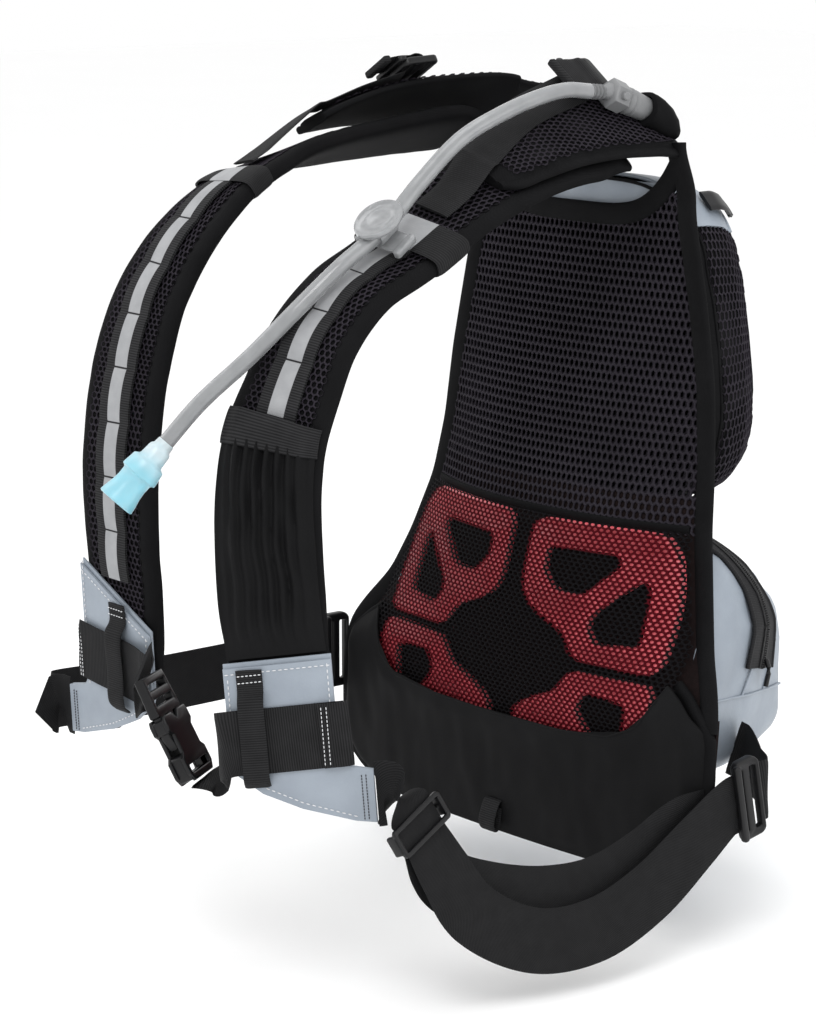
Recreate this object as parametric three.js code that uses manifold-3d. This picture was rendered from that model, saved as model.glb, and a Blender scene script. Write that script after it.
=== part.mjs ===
// A hydration pack of the vest type, in the form that it has on a wearer.
// Millimetres. +X is the wearer's left, +Y points from the chest to the back, +Z is up.
// The origin lies midway between the shoulder straps at the top of the back panel.
import * as THREE from "three";
import { mergeVertices } from "three/addons/utils/BufferGeometryUtils.js";
import Module from "manifold-3d";

const wasm = await Module();
wasm.setup();

// Clearances and cloth
const GAP = 0.35;
const CLOTH = 1.6;
const COATED_CLOTH = 2;
const WEB_THICK = 1.8;

// Back panel
const PANEL_TOP = 8;
const PANEL_HEIGHT = 443;
const PANEL_HALF = 176;
const PANEL_LEAN = 58;
const PANEL_THICK = 4;
const SIDE_CURVE = 2.2;
const BINDING_WIDTH = 14;
const BINDING_THICK = 7;
const HORN_WIDTH = 10;
const SCOOP_DEPTH = 40;
const NET_SPLIT = PANEL_TOP - 0.528 * PANEL_HEIGHT;

// Lumbar pads, their net and the stretch pocket
const PAD_WIDTH = 0.676 * PANEL_HALF;
const PAD_HEIGHT = 83;
const PAD_THICK = 6;
const PAD_FROM_MIDDLE = 9;
const PAD_ROW_GAP = 5;
const NET_THICK = 1;
const POCKET_THICK = 1.2;
const LOOP_WEB = 15;
const LOOP_UP = 21;

// Bags
const UPPER_BAG_DEPTH = 72;
const UPPER_BAG_TOP = PANEL_TOP - 0.054 * PANEL_HEIGHT;
const UPPER_BAG_BOTTOM = PANEL_TOP - 0.517 * PANEL_HEIGHT;
const LOWER_BAG_DEPTH = 100;
const BAGS_APART = 4;
const LOWER_BAG_TOP = UPPER_BAG_BOTTOM - BAGS_APART;
const LOWER_BAG_BOTTOM = PANEL_TOP - 0.912 * PANEL_HEIGHT;
const BAG_INSET = 6;
const ZIP_WIDTH = 24;

// Shoulder straps
const STRAP_WIDTH = 62;
const STRAP_THICK = 12;
const STRAP_SPREAD = 80;
const STRAP_REACH = 313;
const STRAP_DROP = 268;
const DAISY_WIDTH = 25;
const BAND_LENGTH = 20;
const BAND_AT = { 1: 0.365, [-1]: 0.385 };
const POCKET_FROM = 0.66;
const POCKET_BULGE = 5;
const BAND_THICK = 2.2;

// Yoke
const YOKE_SPREAD = 70;
const YOKE_REACH = 150;
const YOKE_RISE = 30;
const YOKE_HALF = 30;
const YOKE_THICK = 6;

// Webbing and hardware of the belt
const BELT_WEB = 38;
const KEEPER_WEB = 15;
const BUCKLE_WIDTH = 48;
const BUCKLE_THICK = 11;
const BUCKLE_LENGTH = 42;
const LIFTER_WEB = 25;
const TAB_THICK = 4;
const TAB_WING = 50;
const LOCK_LENGTH = 20;
const LOCK_THICK = 6;
const SIDE_BOW = 28;
const SIDE_SAG = 80;
const END_STRAIGHT = 6;

// Hose
const HOSE_DIAMETER = 9.5;
const VALVE_LENGTH = 40;

// Colours
const BLACK_CLOTH = { color: 0x19191b, roughness: 0.9, metalness: 0 };
const BLACK_NET = { color: 0x1f1c22, roughness: 0.85, metalness: 0 };
const BLACK_WEB = { color: 0x202022, roughness: 0.75, metalness: 0 };
const BLACK_PLASTIC = { color: 0x141416, roughness: 0.45, metalness: 0 };
const GREY_COATED = { color: 0xa9b6c4, roughness: 0.6, metalness: 0 };
const RED_PAD = { color: 0xa51423, roughness: 0.5, metalness: 0 };
const CLEAR_HOSE = { color: 0xd5d8da, roughness: 0.2, metalness: 0 };
const GREY_PLASTIC = { color: 0x8b8e92, roughness: 0.5, metalness: 0 };
const VALVE_BLUE = { color: 0x8fdbe6, roughness: 0.3, metalness: 0 };

// The panel's sections from top to bottom. down is a share of its height, half of its half width, and
// mid and edge say how far its middle and its sides stand forward, as shares of its lean.
const PANEL_ROWS = [
  { down: 0.0, half: 0.557, mid: -0.05, edge: -0.09 },
  { down: 0.1, half: 0.568, mid: 0.0, edge: -0.09 },
  { down: 0.22, half: 0.636, mid: 0.1, edge: -0.09 },
  { down: 0.33, half: 0.69, mid: 0.22, edge: -0.07 },
  { down: 0.44, half: 0.716, mid: 0.41, edge: -0.03 },
  { down: 0.53, half: 0.744, mid: 0.62, edge: 0.07 },
  { down: 0.62, half: 0.81, mid: 0.81, edge: 0.24 },
  { down: 0.69, half: 0.875, mid: 0.93, edge: 0.42 },
  { down: 0.735, half: 0.955, mid: 0.97, edge: 0.62 },
  { down: 0.77, half: 1.0, mid: 0.99, edge: 0.76 },
  { down: 0.81, half: 1.0, mid: 1.0, edge: 0.79 },
  { down: 0.92, half: 0.99, mid: 1.0, edge: 0.83 },
  { down: 0.955, half: 0.95, mid: 0.99, edge: 0.85 },
  { down: 0.98, half: 0.86, mid: 0.98, edge: 0.86 },
  { down: 1.0, half: 0.7, mid: 0.98, edge: 0.86 },
];

// The outline of one lumbar pad and of its two windows, as shares of its width and height.
const PAD_OUTLINE = [
  { across: 0.01, down: 0.15 },
  { across: 0.12, down: 0.03 },
  { across: 0.7, down: 0.0 },
  { across: 0.85, down: 0.1 },
  { across: 0.93, down: 0.31 },
  { across: 1.0, down: 0.75 },
  { across: 0.96, down: 0.92 },
  { across: 0.66, down: 1.0 },
  { across: 0.43, down: 0.95 },
  { across: 0.23, down: 0.72 },
  { across: 0.03, down: 0.43 },
];
const PAD_INNER_WINDOW = [
  { across: 0.17, down: 0.27 },
  { across: 0.47, down: 0.19 },
  { across: 0.6, down: 0.24 },
  { across: 0.47, down: 0.53 },
  { across: 0.32, down: 0.58 },
  { across: 0.17, down: 0.43 },
];
const PAD_OUTER_WINDOW = [
  { across: 0.72, down: 0.4 },
  { across: 0.8, down: 0.48 },
  { across: 0.85, down: 0.8 },
  { across: 0.67, down: 0.87 },
  { across: 0.55, down: 0.79 },
];

// The scooped mouth of the stretch pocket, from the middle outwards: shares of the panel's half width
// and of its height.
const POCKET_MOUTH = [
  { across: 0.0, down: 0.822 },
  { across: 0.35, down: 0.82 },
  { across: 0.58, down: 0.812 },
  { across: 0.7, down: 0.79 },
  { across: 0.755, down: 0.755 },
  { across: 0.79, down: 0.728 },
];

// The bags' sections from the rim to the back: deep is a share of the bag's depth, wide of the panel's
// half width, top and bottom of the bag's height.
const UPPER_BAG_ROWS = [
  { deep: 0.0, wide: 1.0, top: 0.0, bottom: 1.0 },
  { deep: 0.3, wide: 0.99, top: 0.005, bottom: 0.995 },
  { deep: 0.55, wide: 0.95, top: 0.02, bottom: 0.975 },
  { deep: 0.78, wide: 0.87, top: 0.06, bottom: 0.94 },
  { deep: 0.93, wide: 0.76, top: 0.12, bottom: 0.88 },
  { deep: 1.0, wide: 0.58, top: 0.21, bottom: 0.78 },
];
const LOWER_BAG_ROWS = [
  { deep: 0.0, wide: 0.98, top: 0.0, bottom: 1.0 },
  { deep: 0.25, wide: 0.96, top: 0.02, bottom: 0.995 },
  { deep: 0.5, wide: 0.9, top: 0.09, bottom: 0.985 },
  { deep: 0.72, wide: 0.82, top: 0.19, bottom: 0.96 },
  { deep: 0.9, wide: 0.72, top: 0.3, bottom: 0.92 },
  { deep: 1.0, wide: 0.5, top: 0.44, bottom: 0.82 },
];
const UPPER_BAG = {
  rows: UPPER_BAG_ROWS,
  depth: UPPER_BAG_DEPTH,
  top: UPPER_BAG_TOP,
  bottom: UPPER_BAG_BOTTOM,
  power: 4.5,
};
const LOWER_BAG = {
  rows: LOWER_BAG_ROWS,
  depth: LOWER_BAG_DEPTH,
  top: LOWER_BAG_TOP,
  bottom: LOWER_BAG_BOTTOM,
  power: 5,
};
// The zip's course over the lower bag from the left side to the top: degrees round the bag's outline,
// and a share of its depth.
const ZIP_ROWS = [
  { angle: -24, deep: 0.62 },
  { angle: -5, deep: 0.6 },
  { angle: 15, deep: 0.52 },
  { angle: 35, deep: 0.36 },
  { angle: 55, deep: 0.2 },
  { angle: 90, deep: 0.15 },
];

// The shoulder straps' face lines, from the shoulder to the grey tabs: shares of the straps' spread,
// reach and drop, and the outward turn of the face in degrees.
const STRAP_LEFT_ROWS = [
  { out: 0.86, fore: 0.11, drop: -0.045, turn: 32 },
  { out: 0.85, fore: 0.2, drop: -0.05, turn: 32 },
  { out: 0.86, fore: 0.305, drop: -0.035, turn: 30 },
  { out: 0.89, fore: 0.415, drop: 0.0, turn: 26 },
  { out: 0.92, fore: 0.55, drop: 0.063, turn: 20 },
  { out: 0.95, fore: 0.68, drop: 0.149, turn: 14 },
  { out: 0.97, fore: 0.8, drop: 0.213, turn: 12 },
  { out: 0.99, fore: 0.891, drop: 0.306, turn: 14 },
  { out: 1.0, fore: 0.949, drop: 0.425, turn: 20 },
  { out: 1.0, fore: 0.985, drop: 0.53, turn: 28 },
  { out: 1.01, fore: 1.0, drop: 0.64, turn: 34 },
  { out: 1.02, fore: 1.0, drop: 0.754, turn: 40 },
  { out: 1.05, fore: 0.997, drop: 0.881, turn: 44 },
  { out: 1.09, fore: 0.99, drop: 1.0, turn: 46 },
];
const STRAP_RIGHT_ROWS = [
  { out: 0.85, fore: 0.11, drop: -0.055, turn: 26 },
  { out: 0.85, fore: 0.2, drop: -0.064, turn: 26 },
  { out: 0.86, fore: 0.33, drop: -0.055, turn: 24 },
  { out: 0.9, fore: 0.534, drop: -0.028, turn: 18 },
  { out: 0.93, fore: 0.64, drop: 0.01, turn: 12 },
  { out: 0.95, fore: 0.728, drop: 0.06, turn: 6 },
  { out: 0.97, fore: 0.82, drop: 0.155, turn: 0 },
  { out: 1.0, fore: 0.891, drop: 0.276, turn: -4 },
  { out: 1.0, fore: 0.933, drop: 0.396, turn: -7 },
  { out: 1.0, fore: 0.958, drop: 0.515, turn: -8 },
  { out: 1.0, fore: 0.974, drop: 0.675, turn: -8 },
  { out: 1.02, fore: 0.97, drop: 0.836, turn: -6 },
  { out: 1.05, fore: 0.955, drop: 0.98, turn: -4 },
];

// The yoke from the left shoulder's tip round the neck to the right shoulder's tip: places as shares of
// its spread, reach and rise, the slope of its face in degrees, and half widths on the neck's side and
// on the outer side as shares of one half width.
const YOKE_ROWS = [
  { out: 1.05, fore: 0.99, rise: 0.02, slope: 24, neck: 0.62, outer: 0.66 },
  { out: 1.04, fore: 0.92, rise: 0.15, slope: 26, neck: 0.84, outer: 0.9 },
  { out: 1.02, fore: 0.8, rise: 0.42, slope: 30, neck: 0.92, outer: 1.02 },
  { out: 0.99, fore: 0.6, rise: 0.74, slope: 34, neck: 0.95, outer: 1.14 },
  { out: 0.97, fore: 0.37, rise: 0.93, slope: 38, neck: 0.95, outer: 1.2 },
  { out: 0.93, fore: 0.17, rise: 0.95, slope: 38, neck: 0.95, outer: 1.26 },
  { out: 0.78, fore: 0.01, rise: 0.92, slope: 38, neck: 0.87, outer: 1.36 },
  { out: 0.46, fore: -0.05, rise: 0.87, slope: 38, neck: 0.82, outer: 1.1 },
  { out: 0.0, fore: -0.06, rise: 0.86, slope: 38, neck: 0.8, outer: 1.05 },
  { out: -0.46, fore: -0.05, rise: 0.92, slope: 38, neck: 0.82, outer: 1.1 },
  { out: -0.78, fore: 0.01, rise: 0.99, slope: 38, neck: 0.87, outer: 1.36 },
  { out: -0.93, fore: 0.17, rise: 1.1, slope: 34, neck: 0.95, outer: 1.26 },
  { out: -0.97, fore: 0.37, rise: 1.14, slope: 31, neck: 0.95, outer: 1.2 },
  { out: -0.99, fore: 0.6, rise: 1.12, slope: 29, neck: 0.95, outer: 1.1 },
  { out: -1.01, fore: 0.8, rise: 1.03, slope: 26, neck: 0.92, outer: 1.0 },
  { out: -1.03, fore: 0.98, rise: 0.86, slope: 22, neck: 0.84, outer: 0.9 },
  { out: -1.04, fore: 1.06, rise: 0.74, slope: 20, neck: 0.62, outer: 0.66 },
];

// The hose's route from the connector to the bite valve.
const HOSE_ROUTE = [
  [75.0, -62.0, 42.5],
  [75.5, -80.0, 44.0],
  [76.0, -102.0, 41.0],
  [77.0, -135.0, 32.0],
  [78.0, -167.0, 19.0],
  [79.0, -198.0, -4.0],
  [80.0, -226.0, -28.0],
  [80.0, -258.5, -48.0],
  [73.0, -283.0, -70.0],
  [59.0, -306.0, -96.5],
  [45.0, -331.0, -122.0],
  [36.0, -351.0, -146.0],
];

// Small tools

const V = (x, y, z) => new THREE.Vector3(x, y, z);
const clamp = (value) => Math.min(1, Math.max(0, value));
const mix = (a, b, share) => a + (b - a) * share;
const smooth = (share) => clamp(share) ** 2 * (3 - 2 * clamp(share));

// A column of a table at a place between its rows, on a smooth curve through them.
function column(rows, key, place) {
  const t = clamp(place) * (rows.length - 1);
  const i = Math.min(rows.length - 2, Math.floor(t));
  const f = t - i;
  const b = rows[i][key];
  const c = rows[i + 1][key];
  const a = i > 0 ? rows[i - 1][key] : 2 * b - c;
  const d = i + 2 < rows.length ? rows[i + 2][key] : 2 * c - b;
  return 0.5 * (2 * b + (c - a) * f + (2 * a - 5 * b + 4 * c - d) * f * f + (3 * b - a - 3 * c + d) * f ** 3);
}

// A column of a table whose first key gives uneven places, by straight steps.
function lookUp(rows, at, key, place) {
  let i = 0;
  while (i < rows.length - 2 && place > rows[i + 1][at]) i++;
  const span = rows[i + 1][at] - rows[i][at];
  return mix(rows[i][key], rows[i + 1][key], clamp((place - rows[i][at]) / span));
}

// Turns a geometry's faces outwards, whichever way its points were listed.
function facingOut(geometry) {
  const p = geometry.getAttribute("position");
  const index = geometry.index.array;
  const [a, b, c] = [V(), V(), V()];
  let volume = 0;
  for (let i = 0; i < index.length; i += 3) {
    a.fromBufferAttribute(p, index[i]);
    b.fromBufferAttribute(p, index[i + 1]);
    c.fromBufferAttribute(p, index[i + 2]);
    volume += a.dot(b.cross(c));
  }
  if (volume < 0)
    for (let i = 0; i < index.length; i += 3) [index[i], index[i + 1]] = [index[i + 1], index[i]];
  return geometry;
}

function geometryOf(points, triangles) {
  const flat = new Float32Array(points.length * 3);
  points.forEach((p, i) => flat.set([p.x, p.y, p.z], i * 3));
  const geometry = new THREE.BufferGeometry();
  geometry.setAttribute("position", new THREE.BufferAttribute(flat, 3));
  geometry.setIndex(new THREE.BufferAttribute(new Uint32Array(triangles), 1));
  return facingOut(geometry);
}

// A closed surface through rings of equal length, with a fan over each end, or joined end to end.
function loft(rings, joined = false) {
  const n = rings[0].length;
  const points = rings.flat();
  const triangles = [];
  const last = joined ? rings.length : rings.length - 1;
  for (let r = 0; r < last; r++) {
    const next = (r + 1) % rings.length;
    for (let i = 0; i < n; i++) {
      const j = (i + 1) % n;
      triangles.push(r * n + i, r * n + j, next * n + j);
      triangles.push(r * n + i, next * n + j, next * n + i);
    }
  }
  if (!joined) {
    for (const [r, side] of [[0, 1], [rings.length - 1, -1]]) {
      const centre = V();
      rings[r].forEach((p) => centre.addScaledVector(p, 1 / n));
      points.push(centre);
      for (let i = 0; i < n; i++) {
        const [a, b] = [r * n + i, r * n + ((i + 1) % n)];
        if (side > 0) triangles.push(points.length - 1, b, a);
        else triangles.push(points.length - 1, a, b);
      }
    }
  }
  return geometryOf(points, triangles);
}

// A closed sheet between a front and a back grid of points.
function sheet(front, back) {
  const rows = front.length;
  const cols = front[0].length;
  const half = rows * cols;
  const points = [...front.flat(), ...back.flat()];
  const triangles = [];
  const quad = (a, b, c, d) => triangles.push(a, b, c, a, c, d);
  for (let r = 0; r + 1 < rows; r++)
    for (let c = 0; c + 1 < cols; c++) {
      const i = r * cols + c;
      quad(i, i + 1, i + cols + 1, i + cols);
      quad(half + i, half + i + cols, half + i + cols + 1, half + i + 1);
    }
  const border = [];
  for (let c = 0; c < cols; c++) border.push(c);
  for (let r = 1; r < rows; r++) border.push(r * cols + cols - 1);
  for (let c = cols - 2; c >= 0; c--) border.push((rows - 1) * cols + c);
  for (let r = rows - 2; r > 0; r--) border.push(r * cols);
  border.forEach((a, k) => {
    const b = border[(k + 1) % border.length];
    quad(b, a, half + a, half + b);
  });
  return geometryOf(points, triangles);
}

// Joins and cuts

function toSolid(geometry) {
  const bare = geometry.clone();
  bare.deleteAttribute("normal");
  bare.deleteAttribute("uv");
  const merged = mergeVertices(bare, 1e-4);
  return new wasm.Manifold(
    new wasm.Mesh({
      numProp: 3,
      vertProperties: new Float32Array(merged.attributes.position.array),
      triVerts: new Uint32Array(merged.index.array),
    }),
  );
}

function toGeometry(solid) {
  const mesh = solid.getMesh();
  const points = [];
  for (let i = 0; i < mesh.numVert; i++) {
    const at = i * mesh.numProp;
    points.push(V(mesh.vertProperties[at], mesh.vertProperties[at + 1], mesh.vertProperties[at + 2]));
  }
  return geometryOf(points, mesh.triVerts);
}

function largest(solid) {
  const pieces = solid.decompose();
  return pieces.reduce((best, piece) => (piece.volume() > best.volume() ? piece : best));
}

const less = (body, ...cutters) =>
  toGeometry(largest(cutters.reduce((rest, cutter) => rest.subtract(toSolid(cutter)), toSolid(body))));
const common = (a, b) => toGeometry(largest(toSolid(a).intersect(toSolid(b))));
const joined = (...parts) => toGeometry(parts.map(toSolid).reduce((sum, part) => sum.add(part)));

function node(name, geometry, look) {
  const faceted = geometry.index ? geometry.toNonIndexed() : geometry;
  faceted.computeVertexNormals();
  const mesh = new THREE.Mesh(faceted, new THREE.MeshStandardMaterial(look));
  mesh.name = name;
  return mesh;
}

// The panel's surface

const panelShare = (z) => clamp((PANEL_TOP - z) / PANEL_HEIGHT);
const panelZ = (down) => PANEL_TOP - down * PANEL_HEIGHT;
const panelHalf = (z) => PANEL_HALF * lookUp(PANEL_ROWS, "down", "half", panelShare(z));

function panelY(x, z) {
  const down = panelShare(z);
  const mid = -PANEL_LEAN * lookUp(PANEL_ROWS, "down", "mid", down);
  const edge = -PANEL_LEAN * lookUp(PANEL_ROWS, "down", "edge", down);
  return mix(mid, edge, Math.min(1.05, Math.abs(x) / panelHalf(z)) ** SIDE_CURVE);
}

// All slabs share one lattice of heights and columns, so that what lies on another keeps an even gap.
const LATTICE_ROWS = 18;
const LATTICE_COLS = 10;
const LATTICE_REACH = 1.04;

const latticeX = (row, col) =>
  LATTICE_REACH * mix(-1, 1, col / LATTICE_COLS) * panelHalf(panelZ(row / LATTICE_ROWS));

// A closed slab that follows the panel between two distances in front of its surface.

function panelSlab({ top, bottom, left = -1, right = 1, low, high }) {
  const value = (f, x, z) => (typeof f === "function" ? f(x, z) : f);
  const first = Math.floor(panelShare(top) * LATTICE_ROWS);
  const last = Math.ceil(panelShare(bottom) * LATTICE_ROWS);
  const from = Math.floor(((left + 1) / 2) * LATTICE_COLS);
  const to = Math.ceil(((right + 1) / 2) * LATTICE_COLS);
  const grid = (offset) => {
    const out = [];
    for (let r = first; r <= last; r++) {
      const z = panelZ(r / LATTICE_ROWS);
      const line = [];
      for (let c = from; c <= to; c++) {
        const x = latticeX(r, c);
        line.push(V(x, panelY(x, z) - value(offset, x, z), z));
      }
      out.push(line);
    }
    return out;
  };
  return sheet(grid(high), grid(low));
}

// A flat shape with windows, its outline running one way and its windows the other.
function flatShape(outline, windows = []) {
  const run = (points, clockwise) => {
    const list = points.map(([x, y]) => new THREE.Vector2(x, y));
    return THREE.ShapeUtils.isClockWise(list) === clockwise ? list : list.reverse();
  };
  const shape = new THREE.Shape(run(outline, false));
  for (const window of windows) shape.holes.push(new THREE.Path(run(window, true)));
  return shape;
}

// A prism along Y of an outline in the panel's plane, with windows.
function prism(outline, windows = []) {
  const reach = 2 * PANEL_HALF;
  const body = new THREE.ExtrudeGeometry(flatShape(outline, windows), {
    depth: reach,
    bevelEnabled: false,
  });
  body.translate(0, 0, -reach / 2);
  body.rotateX(Math.PI / 2);
  return mergedIndex(body);
}

function mergedIndex(geometry) {
  geometry.deleteAttribute("normal");
  geometry.deleteAttribute("uv");
  return facingOut(mergeVertices(geometry, 1e-4));
}

const scoop = (x, half, depth, low) => low + depth * (Math.min(1, Math.abs(x) / half)) ** 4.5;
const SCOOP_LOW = PANEL_TOP - SCOOP_DEPTH;
const SCOOP_HALF = PANEL_ROWS[0].half * PANEL_HALF - HORN_WIDTH;

// The heights of the table's rows that lie between two heights, with both ends, from the lower one up.
function rowHeights(bottomZ, topZ) {
  const between = PANEL_ROWS.map(({ down }) => panelZ(down)).filter((z) => z > bottomZ + 1 && z < topZ - 1);
  return [topZ, ...between, bottomZ].reverse();
}

// The panel's outline, brought in by a margin, from the left side over the scoop and down the right.
function panelOutline(margin, topZ, bottomZ) {
  const steps = 10;
  const hornHalf = SCOOP_HALF - margin * 0.6;
  const hornTop = topZ - margin * 1.7;
  const depth = SCOOP_DEPTH - margin * 0.9;
  const edge = rowHeights(bottomZ, hornTop).map((z) => [panelHalf(z) - margin, z]);
  const points = [...edge];
  for (let i = 0; i <= steps; i++) {
    const x = mix(hornHalf, -hornHalf, i / steps);
    points.push([x, Math.min(hornTop, scoop(x, hornHalf, depth, SCOOP_LOW - margin))]);
  }
  return [...points, ...edge.map(([x, z]) => [-x, z]).reverse()];
}

// The panel's outline between two heights, brought in by a margin, with level ends.
function levelOutline(margin, topZ, bottomZ) {
  const edge = rowHeights(bottomZ, topZ).map((z) => [panelHalf(z) - margin, z]);
  return [...edge, ...edge.map(([x, z]) => [-x, z]).reverse()];
}

const WING_TOP = panelZ(0.765);

// Back

function makeBackPanel() {
  const slab = panelSlab({
    top: PANEL_TOP,
    bottom: NET_SPLIT - 6,
    low: -PANEL_THICK / 2,
    high: PANEL_THICK / 2,
  });
  return common(slab, prism(panelOutline(BINDING_WIDTH + 2 * GAP, PANEL_TOP, NET_SPLIT)));
}

function makePanelBinding() {
  const slab = panelSlab({
    top: PANEL_TOP,
    bottom: WING_TOP - 6,
    low: -BINDING_THICK / 2,
    high: BINDING_THICK / 2,
  });
  const outer = common(slab, prism(panelOutline(0, PANEL_TOP, WING_TOP)));
  const inner = panelOutline(BINDING_WIDTH, PANEL_TOP, WING_TOP - 20);
  return less(outer, prism(inner), makeYoke(GAP));
}

function makeLumbarBase() {
  const slab = panelSlab({
    top: NET_SPLIT - GAP,
    bottom: panelZ(1),
    low: -PANEL_THICK / 2,
    high: 0,
  });
  const upper = levelOutline(BINDING_WIDTH + 2 * GAP, NET_SPLIT - GAP, WING_TOP - 2 * GAP);
  const lower = levelOutline(GAP, WING_TOP - GAP, panelZ(1) + GAP);
  return common(slab, joined(prism(upper), prism(lower)));
}

const PAD_LOW = GAP;
const NET_LOW = PAD_LOW + PAD_THICK + GAP;
const NET_HIGH = NET_LOW + NET_THICK;

function makeLumbarNet() {
  const bottom = panelZ(1) + 16;
  const slab = panelSlab({ top: NET_SPLIT, bottom, low: NET_LOW, high: NET_HIGH });
  const straight = 0.83 * panelHalf(WING_TOP + 40);
  const edge = rowHeights(bottom, NET_SPLIT - GAP).map((z) => [
    Math.min(straight, panelHalf(z) - BINDING_WIDTH - 2 * GAP),
    z,
  ]);
  return common(slab, prism([...edge, ...edge.map(([x, z]) => [-x, z]).reverse()]));
}

function curveThrough(points, count) {
  const curve = new THREE.CatmullRomCurve3(points.map(([x, z]) => V(x, z, 0)), true, "centripetal");
  return curve.getPoints(count).slice(0, -1).map((p) => [p.x, p.y]);
}

const PAD_TOP = NET_SPLIT - 3;

function makePad(side, lower) {
  const pivot = PAD_TOP - PAD_HEIGHT - PAD_ROW_GAP / 2;
  const place = ({ across, down }) => {
    const z = PAD_TOP - down * PAD_HEIGHT;
    return [side * (PAD_FROM_MIDDLE + across * PAD_WIDTH), lower ? 2 * pivot - z : z];
  };
  const outline = curveThrough(PAD_OUTLINE.map(place), 22);
  const windows = [PAD_INNER_WINDOW, PAD_OUTER_WINDOW].map((w) => curveThrough(w.map(place), 9));
  const zs = outline.map(([, z]) => z);
  const slab = panelSlab({
    top: Math.max(...zs) + 1,
    bottom: Math.min(...zs) - 1,
    left: side < 0 ? -1 : 0,
    right: side > 0 ? 1 : 0,
    low: PAD_LOW,
    high: PAD_LOW + PAD_THICK,
  });
  return common(slab, prism(outline, windows));
}

// The pocket lies over the net in the middle and comes down to the base along the wings' edges.
function pocketLow(x, z) {
  const side = (panelHalf(z) - Math.abs(x)) / 16;
  return mix(GAP, NET_HIGH + 1.5 * GAP, smooth(side));
}

function makeLowerPocket() {
  const slab = panelSlab({
    top: WING_TOP + 40,
    bottom: panelZ(1),
    low: pocketLow,
    high: (x, z) => pocketLow(x, z) + POCKET_THICK,
  });
  const mouth = [];
  for (let i = 0; i <= 10; i++) {
    const x = i / 10;
    const across = x * POCKET_MOUTH[POCKET_MOUTH.length - 1].across;
    const down = lookUp(POCKET_MOUTH, "across", "down", across);
    mouth.push([across * PANEL_HALF, panelZ(down)]);
  }
  const wing = [[PANEL_HALF * 0.985 - BINDING_WIDTH * 0.4, WING_TOP - 4]];
  const low = panelZ(1) + GAP;
  const right = rowHeights(low, WING_TOP - 12).map((z) => [panelHalf(z) - GAP, z]).reverse();
  const half = [...mouth, ...wing, ...right];
  const outline = [...half, ...half.map(([x, z]) => [-x, z]).reverse().slice(0, -1)];
  const cut = levelOutline(BINDING_WIDTH + 2 * GAP, WING_TOP + 40, WING_TOP - 2);
  const allowed = joined(prism(cut), prism(levelOutline(GAP, WING_TOP - GAP, low)));
  return common(common(slab, prism(outline)), allowed);
}

// A folded loop of webbing sewn to the front of the pocket, as mm out of the pocket and mm down.
const LOOP_OUTER = [[0, 0], [3, 0], [4.4, 6], [8, 12], [8, 18], [6, 21], [2.5, 21], [0, 18]];
const LOOP_EYE = [[1.6, 8], [3.4, 8.6], [6.5, 12.6], [6.5, 17.6], [5.2, 19.4], [3, 19.4], [1.6, 17.6]];

function makeBottomLoop() {
  const shape = flatShape(LOOP_OUTER.map(([y, z]) => [y, -z]), [LOOP_EYE.map(([y, z]) => [y, -z])]);
  const body = new THREE.ExtrudeGeometry(shape, { depth: LOOP_WEB, bevelEnabled: false });
  body.translate(0, 0, -LOOP_WEB / 2);
  const top = panelZ(1) + LOOP_UP;
  const seat = V(0, panelY(0, top) - NET_HIGH - POCKET_THICK - 3 * GAP, top);
  return placed(mergedIndex(body), seat, V(0, -1, 0), V(0, 0, 1));
}

// Bags

const BAG_SEAT = BINDING_THICK / 2 + GAP;
const BAG_RIM = BAG_SEAT - 3;

// A point of a bag's skin: degrees round its outline from the left side over the top, and a share of
// its depth.
function bagPoint(bag, angle, deep, inset = 0) {
  const a = THREE.MathUtils.degToRad(angle);
  const p = Math.sign(Math.cos(a)) * Math.abs(Math.cos(a)) ** (2 / bag.power);
  const q = Math.sign(Math.sin(a)) * Math.abs(Math.sin(a)) ** (2 / bag.power);
  const at = (key) => lookUp(bag.rows, "deep", key, deep);
  const height = bag.bottom - bag.top;
  const top = bag.top + height * at("top") - inset;
  const bottom = bag.top + height * at("bottom") + inset;
  const z = mix(bottom, top, (q + 1) / 2);
  const x = p * (at("wide") * (panelHalf(Math.max(z, WING_TOP + 40)) - BAG_INSET) - inset);
  const rim = panelY(x, z) + BAG_RIM;
  return V(x, mix(rim, bag.depth - inset, deep), z);
}

function bagRing(bag, deep, count, inset = 0) {
  const ring = [];
  for (let i = 0; i < count; i++) ring.push(bagPoint(bag, (i * 360) / count, deep, inset));
  return ring;
}

const BAG_SIDES = 20;

// An open shell: the back outside, the sides to the rim, and back again inside the wall. Its rim is
// trimmed to lie on the back of the binding.
function makeBag(bag, wall) {
  const outside = bag.rows.map((row) => bagRing(bag, row.deep, BAG_SIDES));
  const inside = bag.rows.map((row) => bagRing(bag, row.deep, BAG_SIDES, wall));
  const trim = panelSlab({
    top: bag.top + 1,
    bottom: bag.bottom - 1,
    low: -BAG_SEAT,
    high: PANEL_LEAN,
  });
  return less(loft([...outside.reverse(), ...inside]), trim);
}

// The direction round a bag at a point of its skin, and the direction out of the skin.
function bagFrame(bag, angle, deep) {
  const step = 0.5;
  const round = bagPoint(bag, angle + step, deep).sub(bagPoint(bag, angle - step, deep)).normalize();
  const back = bagPoint(bag, angle, deep + 0.01).sub(bagPoint(bag, angle, deep - 0.01));
  return { round, out: back.cross(round).normalize() };
}

const onBag = (bag, angle, deep, height) =>
  bagPoint(bag, angle, deep).addScaledVector(bagFrame(bag, angle, deep).out, height);

// A patch that lies on a bag's skin between two heights above it.
function bagPatch(bag, { angles, deeps, low, high }) {
  const grid = (height) =>
    angles.map((angle, i) => deeps(angle, i).map((deep) => onBag(bag, angle, deep, height)));
  return sheet(grid(high), grid(low));
}

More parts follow.
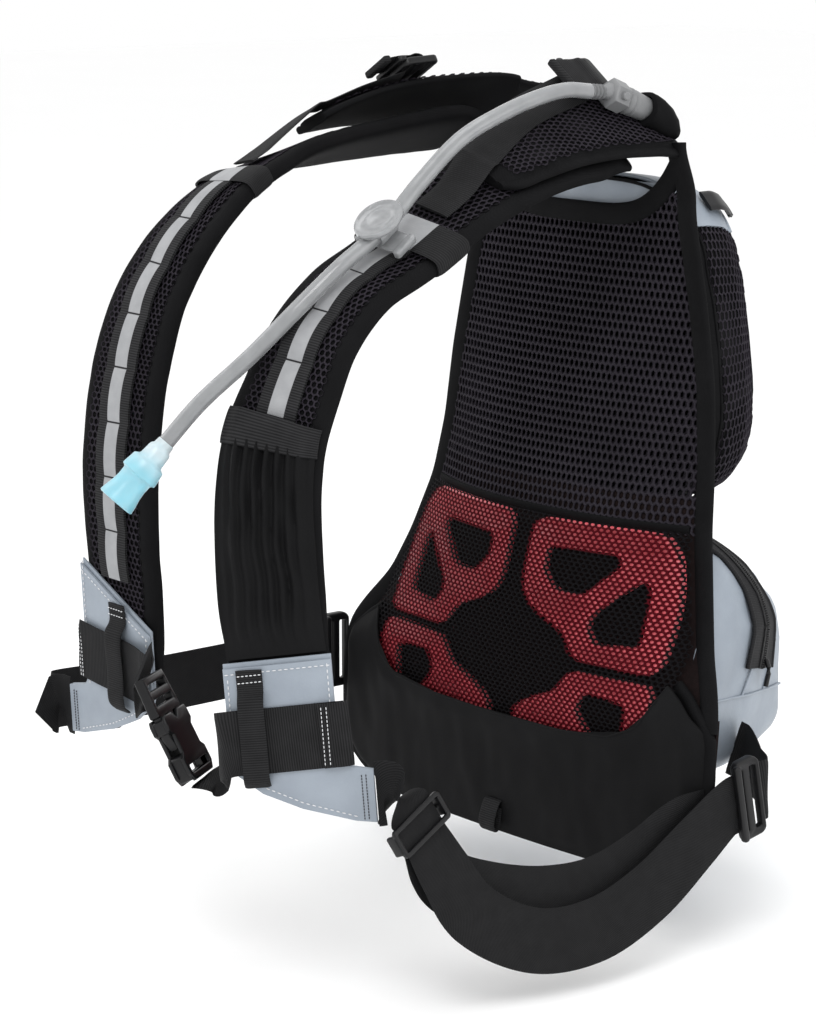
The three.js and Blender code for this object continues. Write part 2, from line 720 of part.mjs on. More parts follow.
// The angles of the bag's own corners from one side to the other, so that a patch lies on its facets.
function bagAngles(from, to) {
  const step = 360 / BAG_SIDES;
  const angles = [];
  for (let i = Math.round(from / step); i <= Math.round(to / step); i++) angles.push(i * step);
  return angles;
}

function makeZip() {
  const half = ZIP_WIDTH / 2 / LOWER_BAG_DEPTH;
  const middle = (angle) => lookUp(ZIP_ROWS, "angle", "deep", angle > 90 ? 180 - angle : angle);
  return bagPatch(LOWER_BAG, {
    angles: bagAngles(ZIP_ROWS[0].angle, 180 - ZIP_ROWS[0].angle),
    deeps: (angle) => [-1, -0.5, 0, 0.5, 1].map((side) => middle(angle) + side * half),
    low: 5.7 * GAP,
    high: 5.7 * GAP + CLOTH,
  });
}

function makeTopCover() {
  return bagPatch(UPPER_BAG, {
    angles: bagAngles(34, 146),
    deeps: () => [0.12, 0.3, 0.55, 0.7],
    low: 1.5 * GAP,
    high: 1.5 * GAP + CLOTH,
  });
}

function makeBagTag(side) {
  const centre = side > 0 ? 45 : 135;
  const tread = 5 * GAP + CLOTH;
  return bagPatch(UPPER_BAG, {
    angles: [-4, 0, 4].map((a) => centre + a),
    deeps: (angle, i) => [0.4, 0.55, 0.7].map((d) => d + 0.08 * Math.abs(i - 1)),
    low: tread,
    high: tread + 2.5,
  });
}

// Shoulder straps

function strapRows(side) {
  const table = side > 0 ? STRAP_LEFT_ROWS : STRAP_RIGHT_ROWS;
  return table.map((row) => ({
    x: side * row.out * STRAP_SPREAD,
    y: -row.fore * STRAP_REACH,
    z: -row.drop * STRAP_DROP,
    turn: row.turn,
  }));
}

const STRAPS = new Map([1, -1].map((side) => [side, strapRows(side)]));

// The strap's frame at a share of its length: the face's middle, the direction along it, the direction
// towards the outer edge, and the direction out of the face.
function strapFrame(side, place) {
  const rows = STRAPS.get(side);
  const at = (t) => V(column(rows, "x", t), column(rows, "y", t), column(rows, "z", t));
  const step = 0.004;
  const origin = at(place);
  const along = at(Math.min(1, place + step)).sub(at(Math.max(0, place - step))).normalize();
  const flat = V(1, 0, 0).addScaledVector(along, -along.x).normalize();
  const face = along.clone().cross(flat);
  const turn = THREE.MathUtils.degToRad(side * column(rows, "turn", place));
  const normal = face.clone().multiplyScalar(Math.cos(turn)).addScaledVector(flat, Math.sin(turn));
  const width = flat.multiplyScalar(Math.cos(turn)).addScaledVector(face, -Math.sin(turn));
  return { origin, along, width: width.multiplyScalar(side), normal };
}

// A point by the strap: mm across towards the outer edge and mm out of its face.
function onStrap(side, place, across, out) {
  const frame = strapFrame(side, clamp(place));
  const beyond = (place - clamp(place)) * 1000;
  return frame.origin
    .addScaledVector(frame.width, across)
    .addScaledVector(frame.normal, out)
    .addScaledVector(frame.along, beyond);
}

// A rounded section round the strap's core, grown by an amount, as pairs of across and out.
function strapSection(half, front, back, count = 10) {
  const points = [];
  for (let i = 0; i < count; i++) {
    const a = ((i + 0.5) / count) * 2 * Math.PI;
    const p = Math.sign(Math.cos(a)) * Math.abs(Math.cos(a)) ** 0.4;
    const q = Math.sign(Math.sin(a)) * Math.abs(Math.sin(a)) ** 0.5;
    points.push([p * half, mix(back, front, (q + 1) / 2)]);
  }
  return points;
}

const ringOnStrap = (side, place, section) => section.map(([a, o]) => onStrap(side, place, a, o));

function makeShoulderStrap(side, grow = 0, from = 0, to = 1) {
  const rings = [];
  const steps = 20;
  for (let i = 0; i <= steps; i++) {
    const place = mix(from, to, i / steps);
    const tip = 1 - 0.25 * (1 - smooth(i / 2)) - 0.06 * (1 - smooth((steps - i) / 2));
    const half = (STRAP_WIDTH / 2) * tip + grow;
    rings.push(ringOnStrap(side, place, strapSection(half, grow, -STRAP_THICK - grow)));
  }
  return loft(rings);
}

// A flat strip along the strap, from one share of its length to another.
function stripOnStrap(side, { from, to, half, low, high, steps, cols = 1 }) {
  const value = (f, t, a) => (typeof f === "function" ? f(t, a) : f);
  const grid = (height) => {
    const out = [];
    for (let i = 0; i <= steps; i++) {
      const t = mix(from, to, i / steps);
      const line = [];
      for (let c = 0; c <= cols; c++) {
        const a = mix(-half, half, c / cols);
        line.push(onStrap(side, t, a, value(height, t, a)));
      }
      out.push(line);
    }
    return out;
  };
  return sheet(grid(high), grid(low));
}

function makeStrapWebbing(side) {
  const to = side > 0 ? POCKET_FROM - 0.005 : 0.95;
  return stripOnStrap(side, {
    from: BAND_AT[side] + 0.04,
    to,
    half: DAISY_WIDTH / 2,
    low: 2 * GAP,
    high: 2 * GAP + WEB_THICK,
    steps: 20,
  });
}

function sleeveOnStrap(side, { from, to, half, front, back, wall, steps = 2 }) {
  const outer = [];
  const inner = [];
  for (let i = 0; i <= steps; i++) {
    const t = mix(from, to, i / steps);
    outer.push(ringOnStrap(side, t, strapSection(half + wall, front + wall, back - wall)));
    inner.push(ringOnStrap(side, t, strapSection(half, front, back)));
  }
  return loft([...outer, ...inner.reverse()], true);
}

const bandShare = BAND_LENGTH / 560;

function makeCrossBand(side) {
  return sleeveOnStrap(side, {
    from: BAND_AT[side] - bandShare / 2,
    to: BAND_AT[side] + bandShare / 2,
    half: STRAP_WIDTH / 2 + 2 * GAP,
    front: 3 * GAP,
    back: -STRAP_THICK - 2 * GAP,
    wall: CLOTH,
  });
}

function makeStrapPocket() {
  const bulge = (t, a) => POCKET_BULGE * smooth((STRAP_WIDTH / 2 - 3 - Math.abs(a)) / 12) * smooth((0.99 - t) / 0.04);
  return stripOnStrap(1, {
    from: POCKET_FROM + 0.045,
    to: 0.985,
    half: STRAP_WIDTH / 2 - 3,
    low: (t, a) => GAP + bulge(t, a),
    high: (t, a) => GAP + CLOTH + bulge(t, a),
    steps: 8,
    cols: 8,
  });
}

function makePocketBand() {
  const bulge = (a) => POCKET_BULGE * smooth((STRAP_WIDTH / 2 - 2 - Math.abs(a)) / 12);
  return stripOnStrap(1, {
    from: POCKET_FROM,
    to: POCKET_FROM + 0.043,
    half: STRAP_WIDTH / 2 - 2,
    low: (t, a) => GAP + bulge(a),
    high: (t, a) => GAP + BAND_THICK + bulge(a),
    steps: 2,
    cols: 8,
  });
}

// Yoke

function yokeFrame(place) {
  const at = (t) =>
    V(
      column(YOKE_ROWS, "out", t) * YOKE_SPREAD,
      -column(YOKE_ROWS, "fore", t) * YOKE_REACH,
      column(YOKE_ROWS, "rise", t) * YOKE_RISE,
    );
  const step = 0.004;
  const along = at(Math.min(1, place + step)).sub(at(Math.max(0, place - step))).normalize();
  const level = along.clone().cross(V(0, 0, 1)).normalize();
  const up = level.clone().cross(along);
  const slope = THREE.MathUtils.degToRad(column(YOKE_ROWS, "slope", place));
  const outward = level.clone().multiplyScalar(Math.cos(slope)).addScaledVector(up, -Math.sin(slope));
  const normal = up.multiplyScalar(Math.cos(slope)).addScaledVector(level, Math.sin(slope));
  return { origin: at(place), along, outward, normal };
}

function onYoke(place, across, out) {
  const frame = yokeFrame(clamp(place));
  return frame.origin.addScaledVector(frame.outward, across).addScaledVector(frame.normal, out);
}

function makeYoke(grow = 0) {
  const rings = [];
  const steps = 26;
  const count = 10;
  for (let i = 0; i <= steps; i++) {
    const place = i / steps;
    const neck = column(YOKE_ROWS, "neck", place) * YOKE_HALF + grow;
    const outer = column(YOKE_ROWS, "outer", place) * YOKE_HALF + grow;
    const ring = [];
    for (let k = 0; k < count; k++) {
      const a = ((k + 0.5) / count) * 2 * Math.PI;
      const p = Math.sign(Math.cos(a)) * Math.abs(Math.cos(a)) ** 0.35;
      const q = Math.sign(Math.sin(a)) * Math.abs(Math.sin(a)) ** 0.5;
      const out = (q * (YOKE_THICK + 2 * grow) - YOKE_THICK) / 2;
      ring.push(onYoke(place, p > 0 ? p * outer : p * neck, out));
    }
    rings.push(ring);
  }
  return loft(rings);
}

// Webbing by a short list of places, each with the direction of its width.
function webbing(rows, width, thick, steps = 10) {
  const point = (r) => V(...r.at);
  const curve = new THREE.CatmullRomCurve3(rows.map(point), false, "centripetal");
  const rings = [];
  const total = steps * (rows.length - 1);
  for (let i = 0; i <= total; i++) {
    const t = i / total;
    const along = curve.getTangent(t);
    const k = t * (rows.length - 1);
    const a = Math.min(rows.length - 2, Math.floor(k));
    const side = V(...rows[a].side).normalize().lerp(V(...rows[a + 1].side).normalize(), k - a);
    side.addScaledVector(along, -side.dot(along)).normalize();
    const face = along.clone().cross(side);
    const middle = curve.getPoint(t);
    const corner = (s, f) =>
      middle.clone().addScaledVector(side, (s * width) / 2).addScaledVector(face, (f * thick) / 2);
    rings.push([corner(-1, -1), corner(1, -1), corner(1, 1), corner(-1, 1)]);
  }
  return loft(rings);
}

const at = (v) => [v.x, v.y, v.z];

// How far along the yoke from each shoulder's tip the lifter buckles sit.
const LIFTER_AT = { 1: 0.275, [-1]: 0.18 };

function lifterRows(side) {
  const end = side > 0 ? 0.0 : 1.0;
  const inwards = side > 0 ? 1 : -1;
  const lift = GAP + WEB_THICK / 2;
  const yokeAt = (s, across, out) => at(onYoke(end + inwards * s, across, out));
  const wide = (s) => at(yokeFrame(end + inwards * s).outward);
  const band = strapFrame(side, BAND_AT[side] - bandShare);
  const start = onStrap(side, BAND_AT[side] - bandShare * 0.62, 0, lift);
  return [
    { at: at(start), side: at(band.width) },
    { at: at(onStrap(side, BAND_AT[side] - bandShare * 1.6, 0, lift + 3)), side: at(band.width) },
    { at: yokeAt(0.012, -4, lift + 2.5), side: wide(0.03) },
    { at: yokeAt(0.05, -6, lift + 0.8), side: wide(0.05) },
    { at: yokeAt(LIFTER_AT[side] * 0.6, -14, lift + 0.8), side: wide(LIFTER_AT[side] * 0.6) },
    { at: yokeAt(LIFTER_AT[side] * 0.9, -20, lift + 1.2), side: wide(LIFTER_AT[side] * 0.9) },
  ];
}

const makeLifterStrap = (side) => webbing(lifterRows(side), LIFTER_WEB, WEB_THICK, 4);

// A plate with slots, in its own plane: x across, y along, centred on its thickness.
function plate(outline, slots, thick) {
  const windows = slots.map(([x, y, w, h]) => [
    [x - w / 2, y - h / 2],
    [x - w / 2, y + h / 2],
    [x + w / 2, y + h / 2],
    [x + w / 2, y - h / 2],
  ]);
  const body = new THREE.ExtrudeGeometry(flatShape(outline, windows), {
    depth: thick,
    bevelEnabled: false,
  });
  body.translate(0, 0, -thick / 2);
  return mergedIndex(body);
}

function roundedBox(width, height, radius, steps = 3) {
  const points = [];
  for (const [sx, sy, start] of [[1, 1, 0], [-1, 1, 90], [-1, -1, 180], [1, -1, 270]])
    for (let i = 0; i <= steps; i++) {
      const a = THREE.MathUtils.degToRad(start + (90 * i) / steps);
      points.push([
        sx * (width / 2 - radius) + radius * Math.cos(a),
        sy * (height / 2 - radius) + radius * Math.sin(a),
      ]);
    }
  return points;
}

// Puts a piece's own x, y and z on three directions in space.
function placed(geometry, origin, across, along) {
  const y = along.clone().normalize();
  const x = across.clone().addScaledVector(y, -across.dot(y)).normalize();
  const z = x.clone().cross(y);
  const basis = new THREE.Matrix4().makeBasis(x, y, z).setPosition(origin);
  return geometry.clone().applyMatrix4(basis);
}

const LADDER = { width: 31, height: 26, thick: 5 };

function makeLifterBuckle(side) {
  const end = side > 0 ? LIFTER_AT[1] : 1 - LIFTER_AT[-1];
  const frame = yokeFrame(end);
  const seat = onYoke(end, -24, 7 * GAP + LADDER.thick / 2 + WEB_THICK);
  const base = plate(roundedBox(LADDER.width, LADDER.height, 4), [[0, 5, 24, 4], [0, -5, 24, 4]], LADDER.thick);
  const fold = new THREE.CylinderGeometry(5, 5, LIFTER_WEB, 8);
  fold.scale(1, 1, 0.75);
  fold.rotateZ(Math.PI / 2);
  fold.translate(0, 0, LADDER.thick / 2 + 2);
  const tail = new THREE.BoxGeometry(LIFTER_WEB, 24, WEB_THICK * 1.6);
  tail.rotateX(side * -0.12);
  tail.translate(0, side * -10, LADDER.thick / 2 + 4);
  return placed(joined(base, mergedIndex(fold), mergedIndex(tail)), seat, frame.outward, frame.along);
}

// Hose and its fittings

const hoseCurve = new THREE.CatmullRomCurve3(
  HOSE_ROUTE.map((p) => V(...p)),
  false,
  "centripetal",
);

function makeHose() {
  const shape = new THREE.Shape();
  const sides = 8;
  for (let i = 0; i < sides; i++) {
    const a = (i / sides) * 2 * Math.PI;
    const [x, y] = [(Math.cos(a) * HOSE_DIAMETER) / 2, (Math.sin(a) * HOSE_DIAMETER) / 2];
    if (i) shape.lineTo(x, y);
    else shape.moveTo(x, y);
  }
  shape.closePath();
  return mergedIndex(
    new THREE.ExtrudeGeometry(shape, { steps: 18, bevelEnabled: false, extrudePath: hoseCurve }),
  );
}

// A turned piece along a direction: rows of distance and radius.
function turned(rows, origin, direction, sides = 10) {
  const closed = [[0, rows[0][0]], ...rows.map(([d, r]) => [r, d]), [0, rows[rows.length - 1][0]]];
  const body = new THREE.LatheGeometry(closed.map(([r, d]) => new THREE.Vector2(r, d)), sides);
  const turn = new THREE.Quaternion().setFromUnitVectors(V(0, 1, 0), direction.clone().normalize());
  body.applyQuaternion(turn);
  body.translate(origin.x, origin.y, origin.z);
  return mergedIndex(body);
}

function makeConnector() {
  const start = hoseCurve.getPoint(0);
  const back = hoseCurve.getTangent(0).multiplyScalar(-1);
  const tilt = V(0.02, 0.93, -0.36);
  const barb = turned(
    [[GAP, 3], [GAP, 4.6], [3, 3.6], [3, 4.6], [6, 3.6], [6, 4.6], [9, 3.6], [9, 4.6], [12, 3.6], [16, 5.4], [22, 5.4]],
    start,
    back,
  );
  const knee = start.clone().addScaledVector(back, 17);
  const hex = turned([[0, 6], [1.2, 9.6], [11, 9.6], [12, 7.5]], knee, tilt, 6);
  const barrel = turned([[8, 7], [14, 8.2], [30, 7.4], [46, 6.6]], knee, tilt);
  return joined(barb, hex, barrel);
}

function makePortSleeve() {
  const start = hoseCurve.getPoint(0);
  const back = hoseCurve.getTangent(0).multiplyScalar(-1);
  const knee = start.clone().addScaledVector(back, 17);
  const tilt = V(0.02, 0.93, -0.36).normalize();
  const across = V(1, 0, 0).addScaledVector(tilt, -tilt.x).normalize();
  const up = across.clone().cross(tilt);
  const ring = (d, half, high, drop) => {
    const out = [];
    for (let i = 0; i < 12; i++) {
      const a = (i / 12) * 2 * Math.PI;
      out.push(
        knee
          .clone()
          .addScaledVector(tilt, d)
          .addScaledVector(across, Math.cos(a) * half)
          .addScaledVector(up, Math.sin(a) * high - drop),
      );
    }
    return out;
  };
  const outer = [ring(30, 13, 10.5, 0), ring(38, 13, 11, 0), ring(48, 12.5, 9.5, 2), ring(56, 11, 6, 6)];
  const inner = [ring(30, 9, 8.2, 0), ring(38, 9, 8.2, 0), ring(47, 8.6, 7.6, 0)];
  return less(loft([...outer.reverse(), ...inner]), makeYoke(GAP));
}

function makeTubeClip() {
  const t = 0.548;
  const centre = hoseCurve.getPoint(t);
  const along = hoseCurve.getTangent(t);
  const normal = strapFrame(1, BAND_AT[1]).normal;
  const across = along.clone().cross(normal).normalize();
  const out = across.clone().cross(along);
  const radius = HOSE_DIAMETER / 2 + 2 * GAP;
  const collar = turned([[-7, radius + 1.6], [7, radius + 1.6]], centre, along, 12);
  const bore = turned([[-9, radius], [9, radius]], centre, along, 12);
  const disc = new THREE.CylinderGeometry(12.5, 12.5, 3, 16);
  disc.rotateX(Math.PI / 2);
  disc.scale(1, 1.2, 1);
  const face = placed(mergedIndex(disc), centre.clone().addScaledVector(out, radius + 2), across, along);
  const foot = placed(
    mergedIndex(new THREE.BoxGeometry(30, 16, 2.2)),
    centre.clone().addScaledVector(out, -radius - 1.8),
    across,
    along,
  );
  return less(joined(collar, face, foot), bore);
}

function makeBiteValve() {
  const end = hoseCurve.getPoint(1);
  const along = hoseCurve.getTangent(1);
  const start = end.clone().addScaledVector(along, GAP);
  const k = VALVE_LENGTH / 40;
  return turned(
    [[0, 6.2], [2 * k, 7], [10 * k, 7.6], [12 * k, 10.4], [20 * k, 11.6], [21 * k, 9.6], [27 * k, 9.4], [40 * k, 11.4]],
    start,
    along,
    12,
  );
}

// Grey tabs, keepers and belt webbing

// The tab's outline: mm across towards the outer side and mm down from its top edge.
const TAB_OUTLINE = [
  { across: -31, down: 0 },
  { across: 31, down: 0 },
  { across: 31, down: 60 },
  { across: TAB_WING, down: 69 },
  { across: TAB_WING, down: 100 },
  { across: 38, down: 98 },
  { across: 8, down: 88 },
  { across: -14, down: 77 },
  { across: -31, down: 62 },
];
const TAB_AT = 0.992;
const WING_DOWN = 84;

// The tab hangs in the plane of the strap's lower end, in front of its mid surface.
function tabPoint(side, across, down, out) {
  const frame = strapFrame(side, 1);
  const fall = frame.along.clone().lerp(V(0, 0, -1), 0.35).normalize();
  return onStrap(side, TAB_AT, across, out).addScaledVector(fall, down);
}

function onTab(side, geometry) {
  const p = geometry.getAttribute("position");
  for (let i = 0; i < p.count; i++) {
    const q = tabPoint(side, p.getX(i), -p.getY(i), p.getZ(i));
    p.setXYZ(i, q.x, q.y, q.z);
  }
  return facingOut(geometry);
}

const TAB_LOW = GAP * 2;

function makeStrapTab(side) {
  const slant = side > 0 ? 0 : 0.55;
  const outline = TAB_OUTLINE.map(({ across, down }) => [across, down === 0 ? across * slant : -down]);
  return onTab(side, plate(outline.reverse(), [], TAB_THICK).translate(0, 0, TAB_LOW + TAB_THICK / 2));
}

const BELT_DOWN = 46;
const BELT_OUT = TAB_LOW + TAB_THICK + GAP + WEB_THICK / 2;
const KEEPER_ACROSS = { 1: -16, [-1]: -4 };

function makeKeeper(side) {
  const a = KEEPER_ACROSS[side];
  const near = TAB_LOW + TAB_THICK + 2 * GAP + WEB_THICK / 2;
  const far = near + WEB_THICK + 7 * GAP;
  const rows = [
    [4, near],
    [16, near],
    [22, far],
    [46, far],
    [67, far],
    [72, near],
  ].map(([down, out]) => ({
    at: at(tabPoint(side, a, down, out)),
    side: at(strapFrame(side, 1).width),
  }));
  return webbing(rows, KEEPER_WEB, WEB_THICK, 2);
}

const BUCKLE_CENTRE = V(-17, -314, -317);
const BUCKLE_ALONG = V(0.41, 0.23, -0.88).normalize();
const BUCKLE_ACROSS = V(0.62, -0.76, 0.08);

function makeBuckleFemale() {
  const body = plate(roundedBox(BUCKLE_WIDTH, BUCKLE_LENGTH, 5), [], BUCKLE_THICK);
  const mouth = new THREE.BoxGeometry(BUCKLE_WIDTH - 6, 30, BUCKLE_THICK - 4);
  mouth.translate(0, -BUCKLE_LENGTH / 2 + 12, 0);
  const windows = [1, -1].map((s) => {
    const w = new THREE.BoxGeometry(12, 15, BUCKLE_THICK * 2);
    w.translate((s * BUCKLE_WIDTH) / 2, -3, 0);
    return mergedIndex(w);
  });
  const slot = new THREE.BoxGeometry(BELT_WEB + 2, 5, BUCKLE_THICK * 2);
  slot.translate(0, BUCKLE_LENGTH / 2 - 7, 0);
  const shell = less(body, mergedIndex(mouth), ...windows, mergedIndex(slot));
  const centre = BUCKLE_CENTRE.clone().addScaledVector(BUCKLE_ALONG, BUCKLE_LENGTH / 2 + 1);
  return placed(shell, centre, BUCKLE_ACROSS, BUCKLE_ALONG);
}

function makeBuckleMale() {
  const thick = BUCKLE_THICK - 4 - 2 * GAP;
  const half = BUCKLE_WIDTH / 2;
  const outline = [
    [-half, 0],
    [-half + 3, -24],
    [half - 3, -24],
    [half, 0],
    [half - 5, 0],
    [half - 4, 14],
    [half - 8, 22],
    [half - 10, 14],
    [half - 12, 1],
    [5, 1],
    [3, 18],
    [-3, 18],
    [-5, 1],
    [-half + 12, 1],
    [-half + 10, 14],
    [-half + 8, 22],
    [-half + 4, 14],
    [-half + 5, 0],
  ];
  const body = plate(outline, [[0, -16, BELT_WEB - 1, 4], [0, -8, BELT_WEB - 1, 3]], thick);
  return placed(body, BUCKLE_CENTRE, BUCKLE_ACROSS, BUCKLE_ALONG);
}

function makeBeltWeb(side) {
  const wide = at(BUCKLE_ACROSS);
  const frame = strapFrame(side, 1);
  const fall = at(frame.along);
  const onFront = (across, down = BELT_DOWN, off = 0) => at(tabPoint(side, across, down, BELT_OUT + off));
  const end = BUCKLE_CENTRE.clone().addScaledVector(BUCKLE_ALONG, side > 0 ? BUCKLE_LENGTH + 4 : -31);
  const rows =
    side > 0
      ? [
          { at: onFront(37), side: fall },
          { at: onFront(24), side: fall },
          { at: onFront(-6), side: fall },
          { at: onFront(-34), side: fall },
          { at: [38, -309, -331], side: [0.15, -0.2, -0.97] },
          { at: [26, -297, -341], side: [0.42, -0.5, -0.75] },
          { at: [13, -294, -353], side: [0.6, -0.72, -0.3] },
          { at: at(end), side: wide },
        ]
      : [
          { at: onFront(34, 40, 0.8), side: fall },
          { at: onFront(18, 42, 0.8), side: fall },
          { at: onFront(-8, 44, 0.8), side: fall },
          { at: onFront(-25, 44, 4), side: fall },
          { at: onFront(-36, 43, 9), side: fall },
          { at: [-38, -314, -306], side: [0.3, -0.55, -0.75] },
          { at: at(end), side: wide },
        ];
  return webbing(rows, BELT_WEB, WEB_THICK, 4);
}

// Side straps with their sliders and ladder locks. Each strap runs between two ends. along is the share
// of the way, bow and sag are shares of how far the strap stands out and hangs down, and wide is the
// direction of its width.
const SLIDER_WIDE = [-0.3, 0.85, 0.4];
const SIDE_LEFT_OUTER = [
  { along: 0.051, bow: 0.386, sag: 0.074, wide: SLIDER_WIDE },
  { along: 0.0686, bow: 0.475, sag: 0.188, wide: SLIDER_WIDE },
  { along: 0.0865, bow: 0.564, sag: 0.301, wide: SLIDER_WIDE },
  { along: 0.119, bow: 0.78, sag: 0.525, wide: [-0.2, 0.7, 0.6] },
  { along: 0.168, bow: 1.0, sag: 0.786, wide: [-0.1, 0.5, 0.8] },
  { along: 0.343, bow: 0.94, sag: 1.0, wide: [-0.2, 0.2, 0.95] },
  { along: 0.526, bow: 0.79, sag: 0.93, wide: [-0.25, 0.0, 0.95] },
  { along: 0.7, bow: 0.54, sag: 0.665, wide: [-0.2, -0.2, 0.95] },
  { along: 0.859, bow: 0.29, sag: 0.285, wide: [-0.1, -0.3, 0.95] },
];
const SIDE_LEFT_INNER = [
  { along: 0.035, bow: 0.076, sag: 0.254, wide: [-0.25, 0.75, 0.5] },
  { along: 0.093, bow: 0.11, sag: 0.39, wide: [-0.1, 0.5, 0.8] },
  { along: 0.216, bow: 0.13, sag: 0.486, wide: [-0.1, 0.4, 0.9] },
  { along: 0.413, bow: 0.15, sag: 0.54, wide: [-0.2, 0.2, 0.95] },
  { along: 0.6, bow: 0.15, sag: 0.48, wide: [-0.25, 0.0, 0.95] },
  { along: 0.767, bow: 0.12, sag: 0.28, wide: [-0.2, -0.2, 0.95] },
  { along: 0.904, bow: 0.08, sag: 0.05, wide: [-0.05, 0.0, 1.0] },
];
const SIDE_LEFT_STUB = [{ along: 0.55, bow: 0.45, sag: 0.04, wide: [0.1, -0.1, 1.0] }];
const SIDE_RIGHT = [
  { along: 0.0, bow: 0.78, sag: 0.03, wide: [0.0, 0.0, 1.0] },
  { along: 0.027, bow: 1.06, sag: 0.04, wide: [0.0, 0.0, 1.0] },
  { along: 0.118, bow: 1.0, sag: 0.04, wide: [0.0, 0.0, 1.0] },
  { along: 0.298, bow: 0.65, sag: 0.045, wide: [0.0, 0.0, 1.0] },
  { along: 0.555, bow: 0.3, sag: 0.02, wide: [0.0, 0.05, 1.0] },
  { along: 0.77, bow: 0.12, sag: 0.0, wide: [0.0, 0.05, 1.0] },
];

// A strap's rows between two ends, each of which gives its point, the strap's direction there and the
// direction of its width. It runs straight for a few millimetres at both.
function sideRoute(side, from, to, rows) {
  const between = rows.map(({ along, bow, sag, wide }) => {
    const p = from.point.clone().lerp(to.point, along);
    return { at: [p.x + side * bow * SIDE_BOW, p.y, p.z - sag * SIDE_SAG], side: wide };
  });
  const row = (end, ahead) => ({
    at: at(end.point.clone().addScaledVector(end.way, ahead)),
    side: at(end.wide),
  });
  return [row(from, 0), row(from, END_STRAIGHT), ...between, row(to, -END_STRAIGHT), row(to, 0)];
}

// The ladder locks beside the lumbar wings: the left one stands behind the wing's edge on its stub, the
// right one lies against it.
const LOCKS = {
  1: {
    centre: V(PANEL_HALF + 4, panelY(PANEL_HALF, panelZ(0.878)) + 25, panelZ(0.878)),
    along: V(0, 1, 0.2).normalize(),
  },
  [-1]: {
    centre: V(
      -PANEL_HALF - LOCK_THICK / 2 - GAP,
      panelY(PANEL_HALF, panelZ(0.81)) - LOCK_LENGTH / 2,
      panelZ(0.81),
    ),
    along: V(0, 1, 0),
  },
};

function makeLadderLock(side) {
  const slot = BELT_WEB + 3;
  const outline = roundedBox(BELT_WEB + 16, LOCK_LENGTH, 4);
  const body = plate(outline, [[0, 5, slot, 4.5], [0, -5, slot, 4.5]], LOCK_THICK);
  return placed(body, LOCKS[side].centre, V(0, 0, 1), LOCKS[side].along);
}

// A strap's end beside a lock, before it or behind it.
const besideLock = (side, back, clear = GAP) => ({
  point: LOCKS[side].centre.clone().addScaledVector(LOCKS[side].along, back * (LOCK_LENGTH / 2 + clear)),
  way: LOCKS[side].along,
  wide: V(0, 0, 1),
});

// A strap's end at the middle of the tab's wing.
function besideWing(side) {
  const { normal } = strapFrame(side, 1);
  const point = (down) => tabPoint(side, TAB_WING + 2 * GAP, down, TAB_LOW + TAB_THICK / 2);
  const fall = point(WING_DOWN + 1).sub(point(WING_DOWN));
  const way = fall.clone().cross(normal).multiplyScalar(-side).normalize();
  return { point: point(WING_DOWN), way, wide: fall };
}

// A slider frame round a webbing: its outer bars on one side, its middle bar on the other. The bars
// follow the webbing's own bend, so that they lie close to it.
const SLIDER_BAR = 2.4;
const SLIDER_OFF = WEB_THICK / 2 + 2 * GAP + SLIDER_BAR / 2;

function sliderFrame(rows, place) {
  const curve = new THREE.CatmullRomCurve3(rows.map((r) => V(...r.at)), false, "centripetal");
  const k = place * (rows.length - 1);
  const a = Math.min(rows.length - 2, Math.floor(k));
  const along = curve.getTangent(place);
  const side = V(...rows[a].side).lerp(V(...rows[a + 1].side), k - a);
  const across = side.addScaledVector(along, -side.dot(along)).normalize();
  return { curve, origin: curve.getPoint(place), along, across, face: across.clone().cross(along) };
}

function makeSlider(rows, place, length) {
  const { curve, origin, along, across, face } = sliderFrame(rows, place);
  const span = length / 2 / curve.getLength();
  const bend = (way) => curve.getPoint(place + way * span).sub(origin).dot(face);
  const reach = (BELT_WEB + 7) / 2;
  const end = (length - SLIDER_BAR) / 2;
  const box = (w, h, d, x, y, z) => mergedIndex(new THREE.BoxGeometry(w, h, d).translate(x, y, z));
  const body = joined(
    box(3.2, length, 2 * SLIDER_OFF + SLIDER_BAR, reach, 0, 0),
    box(3.2, length, 2 * SLIDER_OFF + SLIDER_BAR, -reach, 0, 0),
    box(2 * reach + 3.2, SLIDER_BAR, SLIDER_BAR, 0, -end, Math.min(0, bend(-1)) - SLIDER_OFF),
    box(2 * reach + 3.2, SLIDER_BAR * 1.6, SLIDER_BAR, 0, 0, SLIDER_OFF),
    box(2 * reach + 3.2, SLIDER_BAR, SLIDER_BAR, 0, end, Math.min(0, bend(1)) - SLIDER_OFF),
  );
  return placed(body, origin, across, along);
}

const LEFT_SLIDER_AT = 0.25;
const LEFT_SLIDER_LENGTH = 18;
const RIGHT_SLIDER_AT = 0.5;
const RIGHT_SLIDER_LENGTH = 22;

const leftOuterRows = sideRoute(1, besideWing(1), besideLock(1, -1), SIDE_LEFT_OUTER);
const rightRows = sideRoute(-1, besideWing(-1), besideLock(-1, -1), SIDE_RIGHT);

// The left strap comes back from the slider's middle bar to the front of the lumbar wing.
function leftInnerRows() {
  const { origin, along, across, face } = sliderFrame(leftOuterRows, LEFT_SLIDER_AT);
  const start = origin.addScaledVector(along, SLIDER_BAR * 0.8 + 2 * GAP).addScaledVector(face, SLIDER_OFF);
  const [x, z] = [PANEL_HALF - 4, panelZ(0.9)];
  const end = V(x, panelY(x, z) - pocketLow(x, z) - POCKET_THICK - 5 * GAP, z);
  return sideRoute(
    1,
    { point: start, way: along, wide: across },
    { point: end, way: V(0, 1, 0), wide: V(0, 0, 1) },
    SIDE_LEFT_INNER,
  );
}

